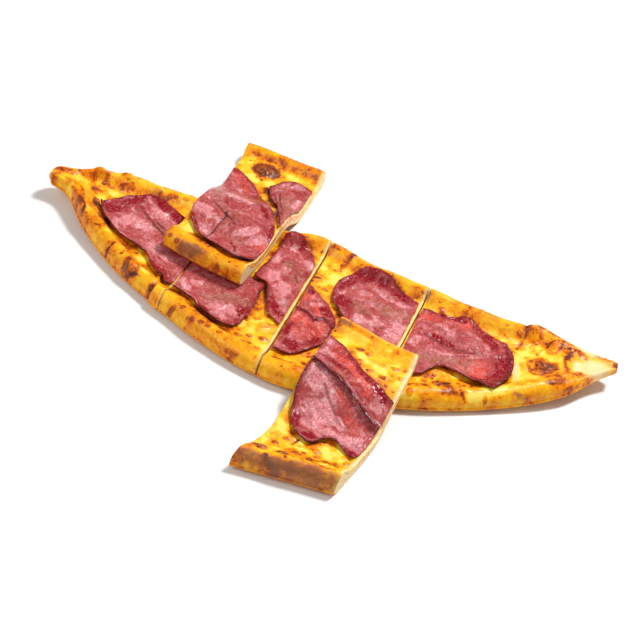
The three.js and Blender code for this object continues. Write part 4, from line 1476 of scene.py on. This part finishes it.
# %% Beef on the crosswise slices
BEEF_CROSS = {
    "back_large": dict(
        bread=back, rind="near far", curl=(1.6, 0, 1.4, 0), size=(66, 92),
        sides=(
            [(-88, 32), (-77, 17), (-64, 10), (-50, 6)], [(-40, 13), (-36.2, 38)],
            [(-41, 54), (-54, 78), (-66, 97), (-78, 108)], [(-86.6, 111), (-88, 66), (-91, 44)],
        ),
        tones=[
            ("deep", (-50, 59, 14, 2.5, -55), (-37, 38, 10, 2.5, -80), (-42, 13, 8.4, 1.8, 50),
             (-84, 28, 9.2, 1.7, -56), (-58, 78, 10, 3, -60)),
            ("coral", (-40, 27, 4, 7, 30)),
            ("pink", (-46, 30, 9, 3, 30), (-51, 36, 8.5, 2.8, 34), (-81, 41, 7.6, 3.6, -25),
             (-78, 27, 6.7, 3.6, -26)),
            ("tan", (-80, 58, 13, 4.2, -55), (-60, 30, 9.3, 4.2, -46)),
            ("coral", (-77, 100, 10, 4.5, -53)),
            ("pink", (-67, 64, 7.6, 3, -11), (-60, 11, 8.2, 2.5, -12)),
            ("tan", (-66, 44, 8, 2.6, -40), (-53, 14, 4, 2.6, -70)),
            ("pink", (-74, 88, 8, 3, -60)),
            ("plain", (-60, 72, 9, 14, 35)),
        ],
        creases=[
            ([(-73, 21), (-71, 32), (-69, 42), (-70, 47)], 0.75, -0.8, 1),
            ([(-81, 51), (-73, 46), (-64, 40), (-62, 38)], 0.75, -0.8, 0.95),
            ([(-58, 23), (-54, 19), (-53, 12)], 0.8, -0.5, 0.9),
            ([(-70, 59), (-66, 58), (-63, 63)], 0.7, 0.5, -0.7), ([(-58, 55), (-56, 60)], 0.7, 0.5, -0.7),
            ([(-81, 68), (-77, 59)], 0.7, 0.5, -0.6), ([(-74, 72), (-67, 64), (-60, 63)], 0.7, 0.5, -0.4),
            ([(-80, 60), (-74, 52), (-66, 47)], 0.8, 0.5, -0.2),
        ],
    ),
    "back_small": dict(
        bread=back, rind="near far left", curl=(0.8, 0, 1.4, 1), size=(36, 66),
        sides=(
            [(-45, 74), (-40, 60)], [(-34.5, 46)], [(-31.5, 112), (-44, 117)],
            [(-52, 113), (-58, 102), (-52, 88)],
        ),
        tones=[
            ("tan", (-44, 92, 8, 14, 15), (-38, 76, 5, 14, 10)),
            ("pink", (-42, 112, 6, 3)),
            ("deep", (-47, 84, 2.4, 16, 25), (-40, 64, 3, 8, 20)),
            ("pink", (-36, 92, 3, 6)),
        ],
        creases=[
            ([(-50, 100), (-44, 82), (-39, 66)], 0.7, -0.6, 0.9),
            ([(-44, 100), (-39, 84)], 0.7, 0.5, -0.2),
        ],
    ),
    "front_lower": dict(
        bread=front, rind="near left", curl=(2.2, 0, 0, 1.6), size=(70, 70),
        sides=(
            [(25, -101), (35, -105), (46, -98)], [(60, -106), (64.3, -98)],
            [(68.8, -75), (50, -62), (36, -57)], [(20, -55), (17, -70), (19, -88)],
        ),
        tones=[
            ("pink", (26, -65, 10, 7, -50), (27, -84, 7, 6, -40), (35, -82, 10, 6, -30),
             (36, -73, 5, 4, -40), (33, -92, 8, 4, -30), (45, -95, 11, 5, -10), (58, -94, 5, 6),
             (42, -83, 7, 3, -30)),
            ("deep", (23, -93, 3, 7, 10), (34, -101, 8, 3), (60, -104, 4, 3)),
            ("coral", (55, -84, 6, 2.6, -35), (42, -72, 6, 3, -30)),
            ("tan", (50, -87, 4, 2, -20), (32, -73, 6, 4, -20)),
        ],
        creases=[
            ([(31, -68), (37, -75), (43, -81)], 0.7, -0.8, 0.7),
            ([(22, -82), (30, -89), (42, -97)], 0.9, 0.8, -0.5),
            ([(44, -82), (52, -88), (60, -94)], 0.8, 0.6, -0.2),
            ([(46, -98), (54, -95), (62, -95)], 1, 0.8, -0.4),
            ([(25, -72), (33, -80), (46, -88)], 0.8, 0.5, -0.3),
        ],
    ),
    "front_upper": dict(
        bread=front, rind="near far", curl=(1.4, 0, 0.6, 0), size=(70, 46), beneath="front_lower",
        sides=(
            [(19.5, -57), (29, -61), (48, -70), (58, -77)], [(68.4, -82)],
            [(71, -66), (52, -54), (38, -42)], [(23, -31), (21, -44)],
        ),
        tones=[
            ("pink", (25, -49, 4, 5), (26, -38, 3, 4)),
            ("coral", (38, -49, 10, 7, -35), (50, -58, 11, 7, -35), (58, -63, 8, 5, -35)),
            ("pink", (63, -71, 5, 4, -40)),
            ("deep", (33, -56, 8, 3, -25), (45, -50.5, 12, 3.2, -38), (61, -61.5, 9, 3, -40)),
            ("tan", (35, -60, 8, 3, -25)),
            ("plain", (48, -57, 16, 8, -37)),
        ],
        creases=[
            ([(36, -64), (48, -70.5), (60, -78.5), (68, -83)], 0.9, 0.8, 0.85),
            ([(30, -50), (42, -58), (54, -66)], 0.8, 0.5, -0.2), ([(40, -47), (47, -54)], 0.5, 0.3, -0.3),
        ],
    ),
}
BEEF_SLICES = BEEF_LEFT | BEEF_RIGHT | BEEF_CROSS
print(len(BEEF_SLICES), "slices of beef in all:", ", ".join(BEEF_SLICES))

# %% Cured beef
LEAN_MAUVE = (0.48, 0.064, 0.066)
LEAN_DEEP = (0.25, 0.001, 0.008)
# Pale pink: the lean's own colour, and also the colour of the painted sheen.
LEAN_PINK_AND_SHEEN = (0.83, 0.29, 0.31)
# A painted glint: near-white pink where the wet meat catches the light.
PAINTED_GLINT = (0.98, 0.66, 0.64)
LEAN_CORAL = (0.80, 0.085, 0.050)
LEAN_TAN = (0.41, 0.130, 0.088)
LEAN_DARK = (0.20, 0.020, 0.026)
LEAN_THREAD = (0.92, 0.52, 0.44)
RIND_AND_SHADE_DARK = (0.050, 0.013, 0.012)


def thin_lines(amount, width):
    """1 where a noise crosses its middle, 0 beyond width on both sides: a net of thin lines."""
    return amount.within(0.5 - width, 0.5, 0.5, 0.5 + width)


beef_graph = Graph("cured beef")
streaks = beef_graph.stretched(1.0, 0.35, 1.0, 35)
fibre = beef_graph.noise(1.9, detail=4, roughness=0.65, twist=0.7, place=streaks)
marble = beef_graph.noise(7.5, detail=5, roughness=0.66, twist=1.6)
# The sheen noise and the glints below shape the wet shine, which is painted into the colour.
sheen = beef_graph.noise(9.0, detail=7, roughness=0.72, twist=1.4)
pores = beef_graph.noise(0.8, detail=2)
painted_glints = beef_graph.noise(2.6, detail=4, roughness=0.75, twist=1.2, place=streaks).above(0.54, 0.62)
flecks = beef_graph.noise(1.5, detail=2).above(0.69, 0.75)
cracks = thin_lines(beef_graph.noise(5.0, detail=3, roughness=0.6, twist=2.0), 0.022)
threads = thin_lines(beef_graph.noise(9.0, detail=2, roughness=0.5, twist=2.6), 0.010)
BEEF_AMOUNTS = ("pink", "deep", "coral", "tan", "rind")
pink, deep, coral, tan, rind = [beef_graph.attribute(name) for name in BEEF_AMOUNTS]
# Painted sheen: pale pink where the sheen noise and the pink tones are high.
painted_sheen = (sheen * 0.95 + pink * 0.26).above(0.44, 0.77)

# Each layer of colour covers the ones before it by its amount.
BEEF_LAYERS = [
    (marble.above(0.45, 0.70) * 0.40, LEAN_TAN),
    ((tan * (0.35 + marble)).clamped() * 0.85, LEAN_TAN),
    ((coral * (0.4 + fibre)).clamped() * 0.85, LEAN_CORAL),
    (marble.below(0.30, 0.52) * 0.36, LEAN_DARK),
    (fibre.below(0.34, 0.48) * 0.30, LEAN_DARK),
    # Painted sheen, then painted glints within it.
    ((painted_sheen * (0.55 + fibre * 0.65)).clamped(), LEAN_PINK_AND_SHEEN),
    (painted_glints * painted_sheen * 0.85, PAINTED_GLINT),
    ((cracks * (0.25 + painted_sheen * 0.45)).clamped(), LEAN_DARK),
    # Deep crimson: the lean's own colour, and painted shade in the creases.
    ((deep * (0.80 + marble * 0.7)).clamped() * 0.98, LEAN_DEEP),
    (threads * 0.60, LEAN_THREAD),
    (flecks * 0.40, LEAN_THREAD),
    # The rind, and painted shade in the darkest creases.
    ((rind * (0.7 + fibre * 0.6)).clamped(), RIND_AND_SHADE_DARK),
]
meat = LEAN_MAUVE
for amount, colour in BEEF_LAYERS:
    meat = beef_graph.blend(amount, meat, colour)

grainy = marble * 0.40 + fibre * 0.30 + pores * 0.15 - cracks * 0.15
beef_grain = beef_graph.bump(grainy * (1 - deep * 0.85), 1.2)
cured_beef = beef_graph.finish(
    meat, 0.13 + fibre * 0.10, beef_grain, Specular_IOR_Level=0.16,
    Subsurface_Weight=0.04, Subsurface_Scale=0.0012, Coat_Weight=0.08, Coat_Roughness=0.12,
)
print("finish:", cured_beef.name, "with", len(BEEF_LAYERS), "layers of colour")

# %% How beef lies
BEEF_THICK = 1.1
BEEF_CLEAR = 0.12
DRAPE_REACH = 1.6
DRAPE_WAYS = [(0, 0), (1, 0), (-1, 0), (0, 1), (0, -1), (0.7, 0.7), (-0.7, 0.7), (0.7, -0.7), (-0.7, -0.7)]
CURL_REACH = 6.0
OVERLAP_RISE = BEEF_THICK + 0.5
OVERLAP_EASE = 5.0
OUTLINE_POINTS = 24


def support(bread, x, y):
    """Height of what the beef lies on: cheese inside, crust on the rims, the highest close by."""
    highest = np.full(x.shape, -np.inf)
    for dx, dy in DRAPE_WAYS:
        px, py = x + DRAPE_REACH * dx, y + DRAPE_REACH * dy
        on_cheese = smooth((bread.inset(px, py) - 7) / 3)
        crust_there, cheese_there = crust_height(bread, px, py), cheese_height(bread, px, py)
        highest = np.maximum(highest, mix(crust_there, cheese_there, on_cheese))
    return highest


def beef_base(bread, beneath, x, y):
    """Height of the underside of a slice of beef at each place, without its own folds."""
    base = support(bread, x, y) + BEEF_CLEAR
    if beneath:
        away = away_from_slice(BEEF_SLICES[beneath]["sides"], OUTLINE_POINTS, x, y)
        base = base + OVERLAP_RISE * (1 - smooth((away - 0.8) / OVERLAP_EASE))
    return base


def torn(x, y, from_knife, seed):
    """The places moved a little, so that the outline is uneven, but not where the knife went."""
    loose = smooth((from_knife - 0.2) / 3)
    x = x + 0.55 * rough(x, y, 5, seed) * loose
    y = y + 0.55 * rough(x, y, 5, seed + 1) * loose
    return x, y


def curled(curl, from_sides, x, y, seed):
    """How far the sides curl up at each place in mm, more in some stretches than in others."""
    lift = np.zeros(x.shape)
    for n, (amount, distance) in enumerate(zip(curl, from_sides.values())):
        swing = clamp(0.75 + 0.65 * lumps(x, y, 9, seed + 10 + n))
        lift = np.maximum(lift, amount * swing * (1 - smooth(distance / CURL_REACH)))
    return lift


print("beef is", BEEF_THICK, "mm thick")


# %% Colours of the beef at each place
def tone(tones, name, x, y):
    """How strongly one tone shows at each place."""
    amount = np.zeros(x.shape)
    for n, (kind, *place) in enumerate(one_by_one(tones)):
        if kind == name:
            d = oval(x, y, *place) + 0.80 * rough(x, y, 7, n + 7)
            amount = np.maximum(amount, 1 - smooth((d - 0.55) / 0.85))
    return amount


def beef_amounts(tones, from_rind, raised, dark, x, y, seed):
    """Amounts for the beef's material. The rind is a dark line with a fainter one beside it. A crease's
    darkness adds painted shade to deep and rind, and where it is negative a painted highlight to pink.
    Raised is a painted highlight along the curled near edge.
    """
    line = bell(from_rind, 0.62) + 0.35 * bell(from_rind - 1.35, 0.3)
    line = line * mix(0.15, 1.0, smooth((rough(x, y, 12, seed + 21) + 0.2) / 0.45))
    pink = tone(tones, "pink", x, y) * (1 - 0.8 * bell(from_rind, 1.6)) + clamp(-dark)
    pink = np.maximum(pink, 1.1 * clamp(rough(x, y, 12, seed + 15) - 0.16))
    pink = pink - 0.75 * tone(tones, "plain", x, y)
    deep = np.maximum(tone(tones, "deep", x, y), 0.75 * bell(from_rind, 3.0)) + 0.45 * clamp(dark)
    deep = np.maximum(deep, 0.9 * clamp(rough(x, y, 9, seed + 18) - 0.20))
    return {
        # raised is a painted highlight: it lifts pink and takes deep away along the curled near edge.
        "pink": np.maximum(pink, 1.3 * raised),
        "deep": deep * (1 - 0.7 * raised),
        "coral": tone(tones, "coral", x, y),
        "tan": tone(tones, "tan", x, y),
        "rind": clamp(line + 1.1 * clamp(dark - 0.25)),
    }


print("tones:", ", ".join(sorted({kind for given in BEEF_SLICES.values() for kind, *_ in given["tones"]})))

# %% Lay the beef
BEEF_FINENESS = 1.5
BEEF_WALL_DEEP = 0.7
DEEPEST_CREASE = 0.5
CREASE_WANDER = (0.35, 2.2)


def lay_beef(name, bread, sides, rind, curl, size, tones, creases, beneath=None):
    seed = 100 + 7 * list(BEEF_SLICES).index(name)
    x, y = patch(sides, *(round(BEEF_FINENESS * count) for count in size))
    from_sides = side_distances(x, y)
    rind_sides = rind.split()
    knife_sides = [side for side in from_sides if side not in rind_sides]
    x, y = torn(x, y, closest(from_sides, knife_sides), seed)
    # A crease's darkness is painted shade along it; where it is negative it is a painted highlight.
    creased, dark = lines_at(creases, x, y, *CREASE_WANDER)
    wrinkle = 0.34 * rough(x, y, 8, seed + 2) + 0.13 * rough(x, y * 0.6, 2.8, seed + 4)
    base = beef_base(bread, beneath, x, y) + curled(curl, from_sides, x, y, seed)
    base = base + creased.clip(-DEEPEST_CREASE) * 0.8 + wrinkle + 0.25
    from_edge = closest(from_sides, from_sides)
    thick = BEEF_THICK * mix(0.72, 1.0, smooth(from_edge / 2.5)) + 0.06 * rough(x, y, 2, seed + 6)
    from_rind = closest(from_sides, rind_sides) + 0.25 * rough(x, y, 2.2, seed + 8)
    # raised is a painted highlight: pale pink along the curled near edge, where it catches the light.
    raised = bell(from_sides["near"] - 1.7, 0.6) * ("near" in rind_sides)
    raised = raised * clamp(0.4 + 1.5 * lumps(x, y, 8, seed + 22))
    amounts = beef_amounts(tones, from_rind, raised, dark, x, y, seed)

    def bulge(share, sides_at, ring):
        return 0.18 * math.sin(math.pi * share) + 0.10 * lumps(ring[:, 0], ring[:, 1], 1.2, seed + 12)

    def wall_amounts(share, thick_there, sides_at, ring, index):
        rinded = np.isin(sides_at, rind_sides) * (0.7 + 0.3 * lumps(ring[:, 0], ring[:, 1], 2, seed + 14))
        walls = {key: values.ravel()[index] for key, values in amounts.items()}
        return walls | {"rind": rinded, "deep": BEEF_WALL_DEEP + 0 * rinded}

    both = {key: (values, values) for key, values in amounts.items()}
    made = shell(x, y, base + thick, base, THIN_WALL_STEPS, bulge, both, wall_amounts)
    return make_mesh(f"pastirma-{name}", *made[:3], [cured_beef])


beefs = {name: lay_beef(name, **given) for name, given in BEEF_SLICES.items()}
tell(beefs)

# %% [markdown]
# ## Fat that ran from the beef, and painted shade beside it
#
# Warm beef leaves an orange, fried border on the cheese and crust beside it. Here every vertex of bread and
# cheese is measured against the outlines of the beef that lies on the same bread, and the nearer it is,
# the more toasted it gets. The same toast is also painted shade: it darkens the cheese and crust where a
# lifted edge of beef throws its shadow, so that this shade is orange.

# %% Fried borders and painted shade
# Toast added beside the beef: partly fried fat, partly painted shade under its lifted edges.
FAT_AND_SHADE_TOAST = 0.27
BORDER_WIDTH = 4.0
BORDER_POINTS = 12
NO_BEEF_NEAR = 1000.0


def read_values(data, key, size=1):
    """What a mesh keeps for each vertex, as size rows of numbers."""
    values = np.empty(len(data) * size, np.float32)
    data.foreach_get(key, values)
    return values.reshape(-1, size).T


def fry_and_shade_border(piece, bread):
    """Toasts a piece of bread or cheese close to the beef, as fried fat and as painted shade under its
    lifted edges, and says where small bubbles grow.
    """
    mesh = piece.data
    x, y, _ = read_values(mesh.vertices, "co", 3) / MM
    nearest = np.full(x.shape, NO_BEEF_NEAR)
    for given in BEEF_SLICES.values():
        if given["bread"] is bread:
            nearest = np.minimum(nearest, away_from_slice(given["sides"], BORDER_POINTS, x, y))
    kept = mesh.attributes["toast"].data
    toast = read_values(kept, "value")[0]
    border = bell(nearest, BORDER_WIDTH) * clamp(0.8 + 0.5 * lumps(x, y, 5, 91))
    border = border * smooth((toast - 0.03) / 0.08)
    kept.foreach_set("value", (toast + FAT_AND_SHADE_TOAST * border).astype(np.float32))
    upward = smooth((read_values(mesh.vertices, "normal", 3)[2] - 0.75) / 0.15)
    bubbly = upward * smooth((nearest - 1.6) / 0.8) * smooth((toast - 0.12) / 0.2)
    add_amount(mesh, "bubbly", bubbly * clamp(0.5 + lumps(x, y, 9, 92)))


for name, given in SLICES.items():
    for piece in (breads[name], cheeses[name]):
        fry_and_shade_border(piece, given["bread"])
print("fried borders on", len(breads) + len(cheeses), "pieces")

# %% [markdown]
# ## Small bubbles, by Geometry Nodes
#
# Between the large blisters, which are listed one by one, hot cheese and glazed crust are covered with
# small bubbles that all look alike. That is work for Geometry Nodes. One tree scatters points over the
# faces where the attribute "bubbly" is high, puts a flattened closed ball of fifty faces on each, half sunk
# in the surface, and gives every ball a browned ring through the same attributes that the listed marks
# use. Before that, the tree pushes the surface itself up and down a little, so that the fine relief is
# real geometry. The seeds are fixed, and sizes are named inputs of the modifier.


# %% A tree for geometry
class Growth(NodeTree):
    """A Geometry Nodes tree with named inputs. Its geometry comes in and goes out at given and out."""

    def __init__(self, name, inputs):
        super().__init__(bpy.data.node_groups.new(name, "GeometryNodeTree"))
        face = self.tree.interface
        face.new_socket("Geometry", in_out="OUTPUT", socket_type="NodeSocketGeometry")
        for label, kind in [("Geometry", "Geometry"), *inputs.items()]:
            face.new_socket(label, in_out="INPUT", socket_type=f"NodeSocket{kind}")
        self.given = self.node("NodeGroupInput").outputs
        self.out = self.node("NodeGroupOutput").inputs[0]

    def value(self, label):
        return Amount(self, self.given[label])

    def named(self, name):
        values = {"Name": name}
        return self.amount("GeometryNodeInputNamedAttribute", values, "Attribute", data_type="FLOAT")

    def scaled(self, vector, scale):
        return self.output("ShaderNodeVectorMath", {0: vector, "Scale": scale}, operation="SCALE")

    def store(self, geometry, name, value):
        values = {"Geometry": geometry, "Name": name, "Value": value}
        return self.output("GeometryNodeStoreNamedAttribute", values, data_type="FLOAT", domain="POINT")

    def apply(self, piece, values):
        """Runs the tree on a piece and turns the result into its plain mesh."""
        modifier = piece.modifiers.new(self.tree.name, "NODES")
        modifier.node_group = self.tree
        for item in self.tree.interface.items_tree:
            if item.in_out == "INPUT" and item.name in values:
                modifier[item.identifier] = values[item.name]
        depsgraph = bpy.context.evaluated_depsgraph_get()
        grown = bpy.data.meshes.new_from_object(piece.evaluated_get(depsgraph), depsgraph=depsgraph)
        piece.modifiers.clear()
        old, piece.data = piece.data, grown
        bpy.data.meshes.remove(old)
        grown.name = piece.name


# %% The tree of bubbles
BALL_SEGMENTS, BALL_RINGS = 10, 5
MOST_POINTS = 60000.0
BALL_AMOUNTS = {"ring": 0.34, "middle": 0.10, "ball": 1.0}

bubbles = Growth("small bubbles", {
    "Relief": "Float", "Relief Size": "Float", "Spacing": "Float", "Smallest": "Float", "Largest": "Float",
    "Flatness": "Float", "Seed": "Int", "Finish": "Material",
})
up = bubbles.output("GeometryNodeInputNormal")
here = bubbles.output("GeometryNodeInputPosition")
grain_place = bubbles.scaled(here, 1 / bubbles.value("Relief Size"))
grain = bubbles.amount("ShaderNodeTexNoise", {"Vector": grain_place, "Scale": 1.0, "Detail": 1.0})
push = (grain - 0.5) * bubbles.value("Relief") * bubbles.named("bubbly")
surface = bubbles.output("GeometryNodeSetPosition", {
    "Geometry": bubbles.given["Geometry"], "Offset": bubbles.scaled(up, push),
})
scatter = bubbles.node("GeometryNodeDistributePointsOnFaces", {
    "Mesh": surface, "Distance Min": bubbles.value("Spacing"), "Density Max": MOST_POINTS,
    "Density Factor": bubbles.named("bubbly"), "Seed": bubbles.value("Seed"),
}, distribute_method="POISSON").outputs

ball = bubbles.output("GeometryNodeMeshUVSphere", {"Segments": BALL_SEGMENTS, "Rings": BALL_RINGS})
ball = bubbles.output("GeometryNodeSetShadeSmooth", {"Geometry": ball})
flat_place = bubbles.output("ShaderNodeVectorMath", {0: here, 1: (1, 1, 0)}, operation="MULTIPLY")
from_top = bubbles.output("ShaderNodeVectorMath", {0: flat_place}, "Value", operation="LENGTH")
for key, value in {"mark": from_top, **BALL_AMOUNTS}.items():
    ball = bubbles.store(ball, key, value)

size = bubbles.output("FunctionNodeRandomValue", {
    "Min": bubbles.value("Smallest"), "Max": bubbles.value("Largest"), "Seed": bubbles.value("Seed"),
}, "Value", data_type="FLOAT")
shape = bubbles.output("ShaderNodeCombineXYZ", {"X": 1.0, "Y": 1.0, "Z": bubbles.value("Flatness")})
planted = bubbles.output("GeometryNodeInstanceOnPoints", {
    "Points": scatter["Points"], "Instance": ball, "Rotation": scatter["Rotation"],
    "Scale": bubbles.scaled(shape, size),
})
joined = bubbles.node("GeometryNodeJoinGeometry")
for part in (planted, surface):
    bubbles.feed(joined.inputs[0], part)
whole = bubbles.output("GeometryNodeRealizeInstances", {"Geometry": joined.outputs[0]})
finished = bubbles.output("GeometryNodeSetMaterial", {
    "Geometry": whole, "Selection": bubbles.named("ball").math("GREATER_THAN", 0.5),
    "Material": bubbles.given["Finish"],
})
bubbles.feed(bubbles.out, finished)
print("tree:", bubbles.tree.name, "with", len(bubbles.tree.nodes), "nodes")

# %% Bubbles on the cheese and on the crust
CHEESE_BUBBLES = {
    "Relief": 0.9 * MM, "Relief Size": 2.4 * MM, "Spacing": 3.4 * MM, "Smallest": 0.5 * MM,
    "Largest": 1.5 * MM, "Flatness": 0.42, "Finish": cheese,
}
CRUST_BUBBLES = {
    "Relief": 0.5 * MM, "Relief Size": 3.0 * MM, "Spacing": 5.5 * MM, "Smallest": 0.4 * MM,
    "Largest": 1.0 * MM, "Flatness": 0.35, "Finish": crust,
}
CHEESE_SEED, CRUST_SEED = 11, 31

for n, name in enumerate(SLICES):
    bubbles.apply(cheeses[name], CHEESE_BUBBLES | {"Seed": CHEESE_SEED + n})
    bubbles.apply(breads[name], CRUST_BUBBLES | {"Seed": CRUST_SEED + n})
tell(cheeses)
tell(breads)

# %% [markdown]
# ## A stage, soft light and the camera
#
# Food is lit from behind and above, so that wet cheese and glazed crust catch long soft highlights and
# the lumps throw short shadows. A wide area lamp at the back does that. A second one fills the front, and
# a bright world keeps the shadows open. The camera looks down at about forty degrees and is rolled.

# %% Floor
FLOOR_HALF = 3.0
FLOOR_LEVEL = -0.0004

floor_mesh = bpy.data.meshes.new("floor")
low, high = -FLOOR_HALF, FLOOR_HALF
corners = [(low, low), (high, low), (high, high), (low, high)]
floor_mesh.from_pydata([(*corner, FLOOR_LEVEL) for corner in corners], [], [(0, 1, 2, 3)])
floor = bpy.data.objects.new("floor", floor_mesh)
bpy.context.scene.collection.objects.link(floor)
floor_graph = Graph("pale table")
floor_tone = floor_graph.blend(floor_graph.noise(40), (0.88, 0.88, 0.87), (0.90, 0.90, 0.895))
floor_mesh.materials.append(floor_graph.finish(floor_tone, 0.8))
print("floor:", floor.name)


# %% Lamps
def area_lamp(name, place, size, power):
    """A round lamp that points at the middle of the pide. Sizes are in metres, power in watts."""
    lamp = bpy.data.lights.new(name, "AREA")
    lamp.shape, lamp.size, lamp.energy = "DISK", size, power
    holder = bpy.data.objects.new(name, lamp)
    holder.location = place
    holder.rotation_euler = (-Vector(place)).to_track_quat("-Z", "Y").to_euler()
    bpy.context.scene.collection.objects.link(holder)


WORLD_STRENGTH = 0.34
area_lamp("key", (0.45, 0.55, 1.20), size=0.30, power=20)
area_lamp("fill", (-0.8, -0.6, 0.9), size=0.8, power=5)
world = bpy.data.worlds.new("studio")
world.use_nodes = True
background = world.node_tree.nodes["Background"]
background.inputs["Color"].default_value = (1, 1, 1, 1)
background.inputs["Strength"].default_value = WORLD_STRENGTH
bpy.context.scene.world = world
bpy.context.scene.view_settings.view_transform = "Standard"
print("lamps: key and fill")

# %% Camera
CAMERA_PLACE = (0.10544213, -0.62949167, 0.55930309)
CAMERA_AZIMUTH, CAMERA_DOWN, CAMERA_ROLL = 8.608, 41.148, 12.961
SENSOR_WIDTH = 36
LENS = 78.486

turned = Matrix.Rotation(math.radians(CAMERA_AZIMUTH), 3, "Z")
tilted = Matrix.Rotation(math.radians(90 - CAMERA_DOWN), 3, "X")
rolled = Matrix.Rotation(math.radians(CAMERA_ROLL), 3, "Z")
camera_data = bpy.data.cameras.new("camera")
camera_data.lens, camera_data.sensor_width = LENS, SENSOR_WIDTH
camera = bpy.data.objects.new("camera", camera_data)
camera.matrix_world = Matrix.Translation(CAMERA_PLACE) @ (turned @ tilted @ rolled).to_4x4()
bpy.context.scene.collection.objects.link(camera)
bpy.context.scene.camera = camera
print("camera at", [round(v, 3) for v in camera.matrix_world.translation])

# %% [markdown]
# ## Hand every piece to the frame
#
# Each dressed piece moves with the one body and stands for its own CAD node, whose solid is hidden.

# %% Ride and replace
GROUPS = [(breads, "bread", "crust"), (cheeses, "cheese", "cheese"), (beefs, "pastirma", "cured_beef")]
for pieces, node_word, slot in GROUPS:
    for name, piece in pieces.items():
        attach(piece, "root")
        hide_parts(f"{node_word}_{name}")
